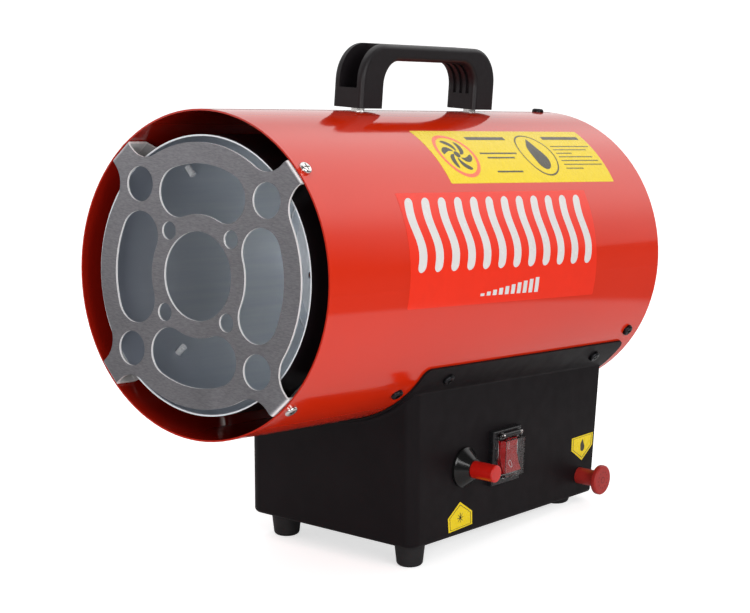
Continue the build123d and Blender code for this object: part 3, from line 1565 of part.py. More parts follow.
with BuildPart() as handle:
    with BuildSketch(side_plane) as arch:
        with Locations((handle_middle, (handle_foot_level + handle_top_level) / 2)):
            Rectangle(handle_length, handle_top_level - handle_foot_level)
        fillet(arch.vertices().group_by(Axis.Y)[-1], radius=handle_outer_radius)
    extrude(amount=handle_width / 2, both=True)
    with BuildSketch(side_plane) as opening:
        with Locations((handle_middle, (casing_radius + grip_level) / 2)):
            Rectangle(handle_length - 2 * handle_leg, grip_level - casing_radius)
        fillet(opening.vertices().group_by(Axis.Y)[-1], radius=handle_inner_radius)
    extrude(amount=handle_width, both=True, mode=Mode.SUBTRACT)
    sides = handle.faces().filter_by(Axis.X).sort_by(Axis.X)
    rims = sides[0].edges() + sides[-1].edges()
    fillet(
        [e for e in rims if tube_level(e.center()) > handle_foot_level + cut_lead],
        radius=handle_edge_radius,
    )
    # open pockets in the outer face of both legs
    pocket_back = handle_leg - pocket_wall
    pocket_end = handle_leg + pocket_overrun
    for face_depth, inwards in ((handle_front_depth, 1), (handle_rear_depth, -1)):
        with BuildSketch(side_plane):
            Polygon(
                (face_depth - inwards * cut_lead, pocket_sill_level),
                (face_depth + inwards * pocket_back, pocket_sill_level),
                (face_depth + inwards * pocket_back, grip_level - handle_inner_radius),
                (face_depth + inwards * pocket_end, grip_level - pocket_overrun),
                (face_depth + inwards * pocket_end, handle_top_level + cut_lead),
                (face_depth - inwards * cut_lead, handle_top_level + cut_lead),
                align=None,
            )
        extrude(amount=pocket_width / 2, both=True, mode=Mode.SUBTRACT)
    # finger grooves along the underside of the grip
    groove_top = grip_level + groove_depth
    with BuildSketch(side_plane) as groove:
        with Locations((handle_middle, (groove_end_level + groove_top) / 2)):
            Rectangle(handle_length - 2 * (handle_leg - groove_depth), groove_top - groove_end_level)
        fillet(groove.vertices().group_by(Axis.Y)[-1], radius=handle_inner_radius + groove_depth)
    for x in (-groove_spacing, 0, groove_spacing):
        side_of_groove = Location((x - groove_width / 2, 0, 0))
        extrude(groove.sketch.moved(side_of_groove), amount=groove_width, mode=Mode.SUBTRACT)
    for depth in handle_screw_depths:
        thread_top = up_plane(0, depth, handle_foot_level + thread_depth)
        cut_round(thread_top, m5_screw[2] + running_gap, thread_depth)
finish(handle.part, "handle")

with BuildPart() as handle_spacers:
    for depth in handle_screw_depths:
        add_hex_nut(
            up_plane(0, depth, casing_radius),
            2 * handle_spacer_radius,
            handle_spacer_height,
            m5_screw[2] + hole_gap,
        )
finish(handle_spacers.part, "handle_spacers")

with BuildPart() as handle_screws:
    for depth in handle_screw_depths:
        seat = tube_point(0, depth, casing_inner - handle_head_gap)
        add_screw(
            Plane(origin=seat, x_dir=(1, 0, 0), z_dir=-axis_up),
            m5_screw,
            handle_foot_level - casing_inner + thread_depth - screw_tip_gap,
        )
finish(handle_screws.part, "handle_screws")

# ---------------------------------------------------------------- electrics inside the base

with BuildPart() as terminal_block:
    block_floor = spot_plane(floor_plane, terminal_x, terminal_y - base_front_y).offset(
        base_wall + floor_sheet
    )
    with BuildSketch(block_floor):
        Rectangle(terminal_length, terminal_width)
    extrude(amount=terminal_height)
    with BuildSketch(block_floor.offset(terminal_height)):
        with GridLocations(terminal_length / terminal_ways, terminal_row_spacing, terminal_ways, 2):
            Circle(terminal_hole_radius)
    extrude(amount=-terminal_hole_depth, mode=Mode.SUBTRACT)
finish(terminal_block.part, "terminal_block")

gland_plane = spot_plane(rear_plane, -gland_x, gland_level)
with BuildPart() as cable_gland:
    gland_back = base_wall + gland_nut_thickness + gland_tail
    gland_reach = gland_hex_length + gland_cap_length
    with BuildSketch(gland_plane):
        RegularPolygon(radius=gland_radius, side_count=6, major_radius=False)
    extrude(amount=gland_hex_length)
    with BuildSketch(gland_plane.offset(gland_hex_length)):
        Circle(gland_radius - gland_cap_inset)
    extrude(amount=gland_cap_length, taper=gland_cap_taper)
    with BuildSketch(gland_plane):
        Circle(gland_thread_radius)
    extrude(amount=-gland_back)
    pierce(gland_plane.offset(gland_reach), gland_bore, gland_reach + gland_back)
finish(cable_gland.part, "cable_gland")

with BuildPart() as gland_nut:
    nut_plane = gland_plane.offset(-base_wall - gland_nut_thickness)
    add_hex_nut(nut_plane, gland_nut_flats, gland_nut_thickness, gland_thread_radius + running_gap)
finish(gland_nut.part, "gland_nut")
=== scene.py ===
import json
import math

import bpy
import numpy as np
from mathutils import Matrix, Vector


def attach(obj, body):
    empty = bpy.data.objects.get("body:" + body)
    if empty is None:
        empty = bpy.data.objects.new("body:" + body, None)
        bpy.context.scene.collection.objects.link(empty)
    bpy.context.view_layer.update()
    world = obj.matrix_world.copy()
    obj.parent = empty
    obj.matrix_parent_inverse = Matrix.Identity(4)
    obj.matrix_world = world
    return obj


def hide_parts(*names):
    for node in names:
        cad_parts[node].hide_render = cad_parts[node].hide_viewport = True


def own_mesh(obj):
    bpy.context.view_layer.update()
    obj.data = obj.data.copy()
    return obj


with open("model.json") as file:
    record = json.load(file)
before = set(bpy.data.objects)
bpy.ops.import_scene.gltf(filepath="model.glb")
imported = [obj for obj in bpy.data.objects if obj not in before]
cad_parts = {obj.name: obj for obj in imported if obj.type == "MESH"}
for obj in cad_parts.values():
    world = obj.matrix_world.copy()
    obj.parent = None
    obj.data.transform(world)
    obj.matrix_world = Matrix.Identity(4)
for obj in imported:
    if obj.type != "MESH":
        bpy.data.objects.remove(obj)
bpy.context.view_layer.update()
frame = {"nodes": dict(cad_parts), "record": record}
nodes = frame["nodes"]

# ---------------------------------------------------------------- where things are, in metres

MM = 0.001

# the tube tips down to the rear: the way along it, the way up from it and across it
TILT = math.radians(5.94)
REAR = np.array([0, math.cos(TILT), -math.sin(TILT)])
UP = np.array([0, math.sin(TILT), math.cos(TILT)])
ACROSS = np.array([1.0, 0, 0])
CASING_RADIUS = 95 * MM
CASING_LENGTH = 352.3 * MM
AXIS_HEIGHT = 180 * MM
OUTLET = np.array([0, 0, AXIS_HEIGHT]) - REAR * CASING_LENGTH / 2

# the control panel is upright, and the base that it belongs to tips down to the rear as well
PANEL_SLOPE = math.radians(3.35)
PANEL_BACK = np.array([0, math.cos(PANEL_SLOPE), -math.sin(PANEL_SLOPE)])
PANEL_UP = np.array([0, math.sin(PANEL_SLOPE), math.cos(PANEL_SLOPE)])
PANEL_X = 65.5 * MM

# thickness of a printed film
FILM = 0.06 * MM


def placed(name, data):
    """New object in the scene, at the origin and unturned."""
    made = bpy.data.objects.new(name, data)
    bpy.context.scene.collection.objects.link(made)
    return made


def aimed(thing, place, way):
    """Stands a camera or a lamp at a place, looking along a direction."""
    thing.location = place
    thing.rotation_mode = "QUATERNION"
    thing.rotation_quaternion = way.to_track_quat("-Z", "Y")


# ---------------------------------------------------------------- camera

SENSOR_WIDTH = 36
IMAGE_WIDTH = 750
FOCAL_PX = 2146.06
CAMERA_PLACE = (0.81209, -1.05988, 0.44139)
YAW, LEAN = -0.65956, -0.21460

camera = placed("camera", bpy.data.cameras.new("camera"))
bpy.context.scene.camera = camera
camera.data.sensor_width = SENSOR_WIDTH
camera.data.lens = FOCAL_PX / IMAGE_WIDTH * SENSOR_WIDTH
camera.data.clip_start = 0.05
camera.data.clip_end = 60
look = Vector((math.cos(LEAN) * math.sin(YAW), math.cos(LEAN) * math.cos(YAW), math.sin(LEAN)))
aimed(camera, CAMERA_PLACE, look)

# ---------------------------------------------------------------- materials

# metallic level of the cut edges' painted highlight
EDGE_HIGHLIGHT_METALLIC = 0.2


class Finish:
    """A Principled material whose patterns read Object coordinates."""

    def __init__(self, name, colour, roughness, metallic=0.0, specular=0.5, turn=0.0):
        self.material = bpy.data.materials.new(name)
        self.material.use_nodes = True
        self.tree = self.material.node_tree
        self.shader = self.tree.nodes["Principled BSDF"]
        self.colour, self.roughness, self.metallic = colour, roughness, metallic
        self.set("Base Color", (*colour, 1))
        self.set("Roughness", roughness)
        self.set("Metallic", metallic)
        self.set("Specular IOR Level", specular)
        self.places = self.add("ShaderNodeTexCoord")
        self.turn = turn
        self.bump = None

    def set(self, socket, value):
        self.shader.inputs[socket].default_value = value

    def add(self, kind, **settings):
        node = self.tree.nodes.new(kind)
        for key, value in settings.items():
            setattr(node, key, value)
        return node

    def join(self, source, target):
        self.tree.links.new(source, target)

    def mapped(self, stretch):
        """Object coordinates turned with the tube, then scaled along its three directions."""
        turned = self.add("ShaderNodeMapping")
        turned.inputs["Rotation"].default_value = (self.turn, 0, 0)
        self.join(self.places.outputs["Object"], turned.inputs["Vector"])
        scaled = self.add("ShaderNodeMapping")
        scaled.inputs["Scale"].default_value = stretch
        self.join(turned.outputs["Vector"], scaled.inputs["Vector"])
        return scaled.outputs["Vector"]

    def noise(self, scale, detail=3.0, stretch=(1, 1, 1)):
        node = self.add("ShaderNodeTexNoise")
        node.inputs["Scale"].default_value = scale
        node.inputs["Detail"].default_value = detail
        self.join(self.mapped(stretch), node.inputs["Vector"])
        return node.outputs["Fac"]

    def spread(self, source, low, high, start=0.3, end=0.7):
        """Maps start to end of a socket's values onto low to high."""
        node = self.add("ShaderNodeMapRange")
        node.inputs["From Min"].default_value = start
        node.inputs["From Max"].default_value = end
        node.inputs["To Min"].default_value = low
        node.inputs["To Max"].default_value = high
        self.join(source, node.inputs["Value"])
        return node.outputs["Result"]

    def mottle(self, scale, amount, stretch=(1, 1, 1), detail=4.0):
        """Colour that drifts a little lighter and darker over the surface."""
        ramp = self.add("ShaderNodeValToRGB")
        dark = [c * (1 - amount) for c in self.colour]
        light = [min(1.0, c * (1 + amount)) for c in self.colour]
        stops = ((0.32, dark), (0.68, light))
        for element, (position, colour) in zip(ramp.color_ramp.elements, stops):
            element.position = position
            element.color = (*colour, 1)
        self.join(self.noise(scale, detail, stretch), ramp.inputs["Fac"])
        self.join(ramp.outputs["Color"], self.shader.inputs["Base Color"])
        self.surface_colour = ramp.outputs["Color"]
        return self

    def dot(self, first, second):
        """Dot product; each side is three numbers or a socket."""
        node = self.add("ShaderNodeVectorMath", operation="DOT_PRODUCT")
        for socket, value in zip(node.inputs, (first, second)):
            if isinstance(value, bpy.types.NodeSocket):
                self.join(value, socket)
            else:
                socket.default_value = value
        return node.outputs["Value"]

    def from_outlet(self):
        """Vector from the middle of the outlet rim to the surface."""
        node = self.add("ShaderNodeVectorMath", operation="SUBTRACT")
        self.join(self.places.outputs["Object"], node.inputs[0])
        node.inputs[1].default_value = OUTLET
        return node.outputs["Vector"]

    def blend(self, share, colour):
        """Mixes another colour into the surface by a share that varies from 0 to 1."""
        node = self.add("ShaderNodeMix", data_type="RGBA")
        self.join(share, node.inputs["Factor"])
        self.join(self.surface_colour, node.inputs["A"])
        node.inputs["B"].default_value = (*colour, 1)
        self.surface_colour = node.outputs["Result"]
        self.join(self.surface_colour, self.shader.inputs["Base Color"])
        return self

    def painted_edge_highlight(self, colour, square):
        """Painted highlight on the cut edges: they are made pale and matt so that they catch the
        lamps' light.
        They face square to the tube on a flat plate that closes it, and along the tube on a rolled
        sheet."""
        size = self.add("ShaderNodeMath", operation="ABSOLUTE")
        self.join(self.dot(self.places.outputs["Normal"], REAR), size.inputs[0])
        at_square, at_along = (1.0, 0.0) if square else (0.0, 1.0)
        share = self.spread(size.outputs["Value"], at_square, at_along, 0.5, 0.9)
        metallic = self.spread(share, self.metallic, EDGE_HIGHLIGHT_METALLIC, 0, 1)
        self.join(metallic, self.shader.inputs["Metallic"])
        return self.blend(share, colour)

    def painted_shade_side(self, colour, outer):
        """Painted shade on the tube's outer or inner side: a darker colour blended in where the
        surface faces that way.
        """
        outwards = self.dot(self.places.outputs["Normal"], self.from_outlet())
        low, high = (0.0, 1.0) if outer else (1.0, 0.0)
        return self.blend(self.spread(outwards, low, high, -0.002, 0.002), colour)

    def painted_depth_light(self, colour, start, end):
        """Painted light along the tube: a darker colour at one depth behind the outlet that fades
        away at another, in metres, so that the surface grows brighter deeper in.
        """
        depth = self.dot(self.from_outlet(), REAR)
        return self.blend(self.spread(depth, 1.0, 0.0, start, end), colour)

    def smears(self, scale, amount, stretch=(1, 1, 1)):
        """Roughness that varies over the surface."""
        low, high = self.roughness - amount, self.roughness + amount
        varied = self.spread(self.noise(scale, 4.0, stretch), low, high)
        self.join(varied, self.shader.inputs["Roughness"])
        return self

    def grain(self, scale, depth, stretch=(1, 1, 1), detail=2.0):
        """Fine raised texture, depth in metres."""
        return self.raised(self.noise(scale, detail, stretch), depth)

    def raised(self, height, depth):
        node = self.add("ShaderNodeBump")
        node.inputs["Distance"].default_value = depth
        self.join(height, node.inputs["Height"])
        if self.bump:
            self.join(self.bump.outputs["Normal"], node.inputs["Normal"])
        self.join(node.outputs["Normal"], self.shader.inputs["Normal"])
        self.bump = node
        return self

    def bands(self, scale, depth, direction="Y"):
        """Stacked sheets or turns: fine parallel ridges across one direction of the tube."""
        self.turn = TILT
        node = self.add("ShaderNodeTexWave", wave_type="BANDS", bands_direction=direction)
        node.inputs["Scale"].default_value = scale
        node.inputs["Distortion"].default_value = 0.3
        self.join(self.mapped((1, 1, 1)), node.inputs["Vector"])
        return self.raised(node.outputs["Fac"], depth)


def steel(name, colour, roughness, streak=(40, 900, 900)):
    """Rolled or brushed sheet: fine streaks along one direction, under soft patches."""
    made = Finish(name, colour, roughness, metallic=1.0, turn=TILT)
    return made.mottle(9, 0.10).smears(1, 0.06, streak).grain(1, 0.012 * MM, streak)


def machined(name, colour, roughness):
    """Turned or plated metal with a faint mottle."""
    made = Finish(name, colour, roughness, metallic=1.0)
    return made.mottle(220, 0.10).smears(400, 0.07).grain(2600, 0.006 * MM)


def moulded(name, colour, roughness, grain_scale, grain_depth, specular=0.5, mottle=0.08):
    """Moulded plastic, rubber or glaze with its skin's grain, depth in millimetres."""
    made = Finish(name, colour, roughness, specular=specular)
    made.mottle(120, mottle).smears(260, min(0.06, roughness / 3))
    return made.grain(grain_scale, grain_depth * MM)


def printed(name, colour, roughness, specular=0.3, mottle=0.03):
    """Smooth printed film."""
    return moulded(name, colour, roughness, 90, 0.004, specular, mottle)


finishes = {}

paint = Finish("red_paint", (0.63, 0.0220, 0.0025), 0.10, turn=TILT)
paint.mottle(9, 0.03).smears(30, 0.02).grain(11, 0.05 * MM, (1, 0.15, 1))
# painted shade on the casing's inner side: a darker red where the surface faces the tube's axis
finishes["casing_red"] = paint.painted_shade_side((0.30, 0.008, 0.003), outer=False)

powder = Finish("black_powder_coat", (0.0065, 0.0046, 0.0056), 0.50, specular=0.11)
finishes["base_black"] = powder.mottle(30, 0.12).smears(90, 0.05).grain(1500, 0.03 * MM)

plate = Finish("brushed_plate", (0.345, 0.335, 0.357), 0.40, metallic=1.0, turn=TILT)
plate.mottle(1, 0.15, (420, 1800, 1800)).smears(40, 0.05)
plate.grain(1, 0.01 * MM, (420, 2400, 2400))
# painted highlight on the plate's cut edges: pale and matt so that they catch the light
finishes["plate_steel"] = plate.painted_edge_highlight((0.92, 0.90, 0.90), square=True)

chamber = Finish("chamber_sheet", (0.87, 0.93, 1.0), 0.42, metallic=0.5, turn=TILT)
chamber.mottle(1, 0.04, (300, 12, 300)).smears(9, 0.05).grain(1, 0.008 * MM, (500, 20, 500))
# painted light inside the chamber: darker near the outlet, paler deeper in
chamber.painted_depth_light((0.30, 0.325, 0.38), 0.02, 0.12)
# painted shade on the chamber's outer side, in the gap between it and the casing: near black
chamber.painted_shade_side((0.012, 0.010, 0.012), outer=True)
# painted highlight on the chamber's rolled rim edges: pale and matt so that they catch the light
finishes["chamber_steel"] = chamber.painted_edge_highlight((0.90, 0.92, 0.95), square=False)

SHEETS = (
    ("burner_steel", "heat_steel", (0.34, 0.31, 0.29), 0.38),
    ("sheet_zinc", "zinc_sheet", (0.56, 0.58, 0.60), 0.34),
    ("fan_aluminium", "rolled_aluminium", (0.66, 0.67, 0.68), 0.36),
)
for slot, *surface in SHEETS:
    finishes[slot] = steel(*surface)

TURNED_METALS = (
    ("screw_zinc", "zinc_screw", (0.72, 0.70, 0.68), 0.20),
    ("screw_black", "black_screw", (0.030, 0.030, 0.033), 0.34),
    ("spring_steel", "spring_wire", (0.50, 0.50, 0.52), 0.25),
    ("brass", "turned_brass", (0.66, 0.47, 0.20), 0.26),
    ("copper", "drawn_copper", (0.66, 0.33, 0.20), 0.30),
    ("laminations", "lamination_stack", (0.30, 0.30, 0.31), 0.42),
)
for slot, *surface in TURNED_METALS:
    finishes[slot] = machined(*surface)

# slot, name, colour, roughness, scale and depth of the grain, specular level, mottle
MOULDINGS = (
    ("ceramic", "glazed_ceramic", (0.80, 0.78, 0.72), 0.20, 900, 0.01, 0.5, 0.03),
    ("rubber_black", "black_rubber", (0.013, 0.012, 0.013), 0.58, 2200, 0.03, 0.3),
    ("igniter_black", "gloss_black", (0.006, 0.006, 0.006), 0.14, 90, 0.01, 0.35),
    ("button_red", "button_red", (0.50, 0.010, 0.006), 0.20, 90, 0.01, 0.45),
    ("valve_red", "valve_red", (0.36, 0.019, 0.015), 0.42, 1200, 0.01, 0.35),
    ("rocker_red", "rocker_red", (0.56, 0.012, 0.014), 0.16, 90, 0.004, 0.3),
    ("switch_black", "switch_black", (0.008, 0.008, 0.009), 0.28, 1600, 0.01, 0.4),
    ("handle_black", "handle_black", (0.0100, 0.0080, 0.0095), 0.44, 1900, 0.05, 0.36),
    ("gland_black", "nylon_black", (0.015, 0.015, 0.016), 0.45, 1500, 0.02),
    ("terminal_white", "nylon_white", (0.72, 0.72, 0.67), 0.42, 1500, 0.02, 0.5, 0.04),
    ("guard_black", "coated_wire", (0.018, 0.018, 0.020), 0.35, 900, 0.02),
    ("coil_tape", "coil_tape", (0.66, 0.50, 0.10), 0.36, 800, 0.02),
)
for slot, *surface in MOULDINGS:
    finishes[slot] = moulded(*surface)

finishes["laminations"].bands(600, 0.15 * MM)
finishes["coil_tape"].bands(110, 0.12 * MM, "Z")

clear = Finish("clear_plastic", (0.72, 0.70, 0.70), 0.05, specular=0.3)
clear.set("Transmission Weight", 1.0)
clear.set("IOR", 1.30)
finishes["cover_clear"] = clear.grain(300, 0.01 * MM)

# painted highlight: the screws that stand in the chamber are made pale and almost not metallic, so
# that they shine brighter than the others
painted_glint_screw = machined("painted_glint_screw", (0.95, 0.95, 0.96), 0.25)
painted_glint_screw.set("Metallic", 0.1)
own_finishes = {"chamber_screws": painted_glint_screw}

slot_of = {row["node"]: row["material_slot"] for row in frame["record"]["subparts"]}
for name, node in nodes.items():
    node.data.materials.clear()
    node.data.materials.append(own_finishes.get(name, finishes[slot_of[name]]).material)

label_yellow = printed("label_yellow", (0.83, 0.62, 0.008), 0.28, 0.2, 0.02)
label_red = printed("label_red", (0.80, 0.029, 0.009), 0.14, mottle=0.02)
label_white = printed("label_white", (0.68, 0.66, 0.65), 0.24, mottle=0.02)
label_orange = printed("label_orange", (0.92, 0.16, 0.070), 0.24, mottle=0.02)
label_ink = printed("label_ink", (0.045, 0.038, 0.020), 0.30)
rocker_ink = printed("rocker_ink", (0.78, 0.72, 0.72), 0.30)
cap_ink = printed("cap_ink", (0.16, 0.010, 0.010), 0.40)

# ---------------------------------------------------------------- printed films


def sheet_faces(rows, columns):
    """Faces of a closed thin sheet: a top grid, the same below it, and the rim between them."""
    index = np.arange(rows * columns).reshape(rows, columns)
    below = index + rows * columns
    corners = [index[:-1, :-1], index[1:, :-1], index[1:, 1:], index[:-1, 1:]]
    top = np.stack(corners, -1).reshape(-1, 4)
    bottom = (top + rows * columns)[:, ::-1]
    rim, under = (
        np.concatenate([grid[0, :], grid[1:, -1], grid[-1, -2::-1], grid[-2:0:-1, 0]])
        for grid in (index, below)
    )
    side = np.stack([rim, np.roll(rim, -1), np.roll(under, -1), under], -1)
    return np.concatenate([top, bottom, side])


def band_faces(count):
    """Faces of a closed band from four rings of points: outer and inner above, then inner and
    outer below."""
    here = np.arange(count)
    after = np.roll(here, -1)
    levels = [(level * count, (level + 1) % 4 * count) for level in range(4)]
    walls = [np.stack([a + here, a + after, b + after, b + here], -1) for a, b in levels]
    return np.concatenate(walls)


class Print:
    """Flat shapes printed in one ink on one surface. Shapes are drawn in millimetres, x to the
    rear and y up, and place(x, y, lift) puts them on the surface."""

    def __init__(self, name, place, lift, ink, body="heater", record_slot="casing_red"):
        self.name, self.place, self.lift, self.ink = name, place, lift, ink
        self.body, self.record_slot = body, record_slot
        self.points, self.faces, self.count = [], [], 0

    def keep(self, points, faces):
        self.points.append(points)
        self.faces += (faces + self.count).tolist()
        self.count += len(points)

    def sheet(self, x, y):
        """Closed thin sheet over a grid of x and y, rows to the rear and columns up."""
        x, y = np.broadcast_arrays(x, y)
        levels = [self.place(x, y, self.lift + FILM), self.place(x, y, self.lift)]
        points = np.concatenate([level.reshape(-1, 3) for level in levels])
        self.keep(points, sheet_faces(*x.shape))

    def band(self, outer, inner):
        """Closed line between two outlines, each two rows of x and y, counter-clockwise."""
        levels = ((outer, FILM), (inner, FILM), (inner, 0), (outer, 0))
        rings = [self.place(ring[0], ring[1], self.lift + rise) for ring, rise in levels]
        self.keep(np.concatenate(rings), band_faces(outer.shape[1]))

    def ring(self, x, y, radius, width):
        """Circle line: x = a cos t, y = a sin t for its two radii a."""
        turn = np.linspace(0, 2 * np.pi, 72, endpoint=False)
        circle = np.stack([np.cos(turn), np.sin(turn)])
        middle = np.array([[x], [y]])
        self.band(middle + radius * circle, middle + (radius - width) * circle)

    def bar(self, start, end, low, high):
        """Rectangle between two x and two y."""
        self.sheet(np.linspace(start, end, 24)[:, None], np.linspace(low, high, 6)[None, :])

    def disc(self, x, y, radius):
        """Square grid pressed round: x = a sqrt(1 - b b / 2), y = b sqrt(1 - a a / 2)."""
        a = np.linspace(-1, 1, 9)[:, None]
        b = np.linspace(-1, 1, 9)[None, :]
        self.sheet(x + radius * a * np.sqrt(1 - b**2 / 2), y + radius * b * np.sqrt(1 - a**2 / 2))

    def stroke(self, x, low, high, width, sway):
        """Upright wave: its middle line is one sine and its two ends are half circles."""
        y = low + (high - low) * (1 - np.cos(np.linspace(0, np.pi, 48))) / 2
        cap = width / 2
        inward = np.clip(np.maximum(low + cap - y, y - high + cap) / cap, 0, 0.999)
        middle = x + sway * np.sin(2 * np.pi * (y - low) / (high - low))
        across = np.linspace(-1, 1, 7)[:, None]
        self.sheet(middle + across * cap * np.sqrt(1 - inward**2), y[None, :])

    def flame(self, x, low, height, width, lean):
        """Flame drop: its half width is sqrt(t)(1 - t) of its height's share t, scaled so that the
        widest place has the whole width, and its middle sways."""
        t = np.linspace(0.004, 0.996, 40) ** 1.5
        half = width / 2 * np.sqrt(t) * (1 - t) / 0.385
        middle = x + lean * np.sin(2.4 * np.pi * t) * t
        across = np.linspace(-1, 1, 9)[:, None]
        self.sheet(middle + across * half, (low + height * t)[None, :])

    def blade(self, x, y, angle, inner, outer):
        """Fan blade from one radius to another: its angle sweeps on by 55 degrees, and its half
        width is 17 degrees times the root of a half sine of the radius's share."""
        share = np.linspace(0.03, 0.97, 16)[:, None]
        r = inner + (outer - inner) * share
        half = 17 * np.sin(np.pi * share) ** 0.5
        turn = np.radians(angle + 55 * share + half * np.linspace(-1, 1, 9))
        self.sheet(x + r * np.cos(turn), y + r * np.sin(turn))

    def needle(self, x, y, angle, reach, half_width):
        """Thin ray both ways from a point: its half width is an ellipse of the distance."""
        along = np.array([math.cos(math.radians(angle)), math.sin(math.radians(angle))])
        side = np.array([-along[1], along[0]]) * half_width
        length = np.linspace(-reach, reach, 12)[:, None]
        width = np.linspace(-1, 1, 3)[None, :] * np.sqrt(1.02 - (length / reach) ** 2)
        self.sheet(
            x + length * along[0] + width * side[0],
            y + length * along[1] + width * side[1],
        )

    def made(self):
        """One piece at the origin from every shape drawn so far."""
        mesh = bpy.data.meshes.new(self.name)
        mesh.from_pydata(np.concatenate(self.points).tolist(), [], self.faces)
        mesh.update()
        mesh.materials.append(self.ink.material)
        piece = placed(self.name, mesh)
        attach(piece, self.body)


def on_casing(depth, angle, radius):
    """Point at this depth behind the outlet rim, this angle round the tube and this radius."""
    turn = np.radians(angle)[..., None]
    out = np.cos(turn) * ACROSS + np.sin(turn) * UP
    return OUTLET + depth[..., None] * REAR + radius * out


def wrapped(width, height, corners):
    """Where a label's own millimetres lie on the tube: its corners are (depth, angle) pairs, lower
    front, lower rear, upper rear and upper front, and the places between them are blended."""
    lower_front, lower_rear, upper_rear, upper_front = np.array(corners, float)

    def place(x, y, lift):
        u, v = (x / width)[..., None], (y / height)[..., None]
        low = lower_front + (lower_rear - lower_front) * u
        high = upper_front + (upper_rear - upper_front) * u
        spot = low + (high - low) * v
        return on_casing(spot[..., 0] * MM, spot[..., 1], CASING_RADIUS + lift)

    return place


def rounded_sheet(width, height, corner=1.0, columns=72, rows=30):
    """Grid over a rectangle whose corners are rounded: each row's ends are drawn in by the circle
    of the corner's radius."""
    bend = np.linspace(0, corner, 6)
    straight = np.linspace(corner, height - corner, rows)
    y = np.concatenate([bend[:-1], straight, height - bend[-2::-1]])
    into = np.maximum(0, np.maximum(corner - y, y - (height - corner)))
    inset = corner - np.sqrt(corner**2 - into**2)
    u = np.linspace(0, 1, columns)[:, None]
    return inset + u * (width - 2 * inset), y[None, :]


# ---------------------------------------------------------------- yellow label on the casing

TOP_WIDTH, TOP_HEIGHT = 182.5, 45.8
TOP_CORNERS = ((134.1, 37.1), (316.1, 35.4), (318.1, 63.3), (135.0, 64.5))
top_place = wrapped(TOP_WIDTH, TOP_HEIGHT, TOP_CORNERS)
top_sheet = Print("label_top", top_place, 0, label_yellow)
top_sheet.sheet(*rounded_sheet(TOP_WIDTH, TOP_HEIGHT))
top_sheet.made()

FAN_X, FAN_Y, FAN_RING = 24.2, 22.4, 18.2
fan_ring = Print("label_top_ring", top_place, FILM, label_orange)
fan_ring.ring(FAN_X, FAN_Y, FAN_RING, width=2.6)
fan_ring.made()

FAN_BLADES = 6
FLAME_X, FLAME_Y, FLAME_RING = 112.0, 22.9, 18.0
# start, end and middle height of the thick lines and of the thin lines
HEADINGS = ((48, 90, 37.4), (133, 176, 37.9))
RULED_LINES = ((48.8, 88.7, 23.2), (53.5, 83.0, 19.4), (54.4, 82.4, 8.3))
# the block of thin lines beside the flame: where they start, where each ends, and their pitch
BLOCK_START, BLOCK_LOW, BLOCK_HIGH, BLOCK_PITCH = 134.0, 29.2, 29.9, 3.17
BLOCK_ENDS = (179.3, 172.9, 152.4, 174.1, 177.9, 179.3, 154.2)

top_ink = Print("label_top_ink", top_place, FILM, label_ink)
for blade in range(FAN_BLADES):
    top_ink.blade(FAN_X, FAN_Y, 360 / FAN_BLADES * blade, inner=3.0, outer=13.6)
top_ink.disc(FAN_X, FAN_Y, radius=2.6)
top_ink.ring(FLAME_X, FLAME_Y, FLAME_RING, width=1.1)
top_ink.flame(FLAME_X, low=10.0, height=27.0, width=15.0, lean=1.6)
for lines, half in ((HEADINGS, 1.5), (RULED_LINES, 0.6)):
    for start, end, y in lines:
        top_ink.bar(start, end, y - half, y + half)
for row, end in enumerate(BLOCK_ENDS):
    drop = BLOCK_PITCH * row
    top_ink.bar(BLOCK_START, end, BLOCK_LOW - drop, BLOCK_HIGH - drop)
top_ink.made()

# ---------------------------------------------------------------- red label on the casing

SIDE_WIDTH, SIDE_HEIGHT = 198.0, 68.7
SIDE_CORNERS = ((72.6, -7.2), (273.2, -9.4), (274.5, 32.2), (74.6, 34.1))
side_place = wrapped(SIDE_WIDTH, SIDE_HEIGHT, SIDE_CORNERS)
side_sheet = Print("label_side", side_place, 0, label_red)
side_sheet.sheet(*rounded_sheet(SIDE_WIDTH, SIDE_HEIGHT))
side_sheet.made()

WARMTH_STROKES, WARMTH_START, WARMTH_END = 12, 10.0, 186.0
LEVEL_BARS, LEVEL_START, LEVEL_PITCH, LEVEL_WIDTH = 10, 71.0, 6.4, 4.0
LEVEL_FOOT, LEVEL_TOP, LEVEL_STEP = 4.8, 6.4, 0.85

side_ink = Print("label_side_ink", side_place, FILM, label_white)
for x in np.linspace(WARMTH_START, WARMTH_END, WARMTH_STROKES):
    side_ink.stroke(x, low=21.0, high=65.5, width=7.6, sway=2.6)
for step in range(LEVEL_BARS):
    start = LEVEL_START + LEVEL_PITCH * step
    side_ink.bar(start, start + LEVEL_WIDTH, LEVEL_FOOT, LEVEL_TOP + LEVEL_STEP * step)
side_ink.made()

# ---------------------------------------------------------------- arrow labels on the control panel

ARROW_LINE_INSET = 1.7
ARROW_LINE_WIDTH = 0.5


def on_panel(x, y, lift):
    """Point on the control panel: x to the rear and y above the floor, in millimetres."""
    return np.stack([np.full(np.shape(x), PANEL_X + lift), x * MM, y * MM], -1)


def towards_middle(outline, inset):
    """An outline whose corners are drawn towards its middle by an amount."""
    middle = outline.mean(1, keepdims=True)
    away = outline - middle
    reach = np.linalg.norm(away, axis=0)
    return middle + away * (reach - inset) / reach


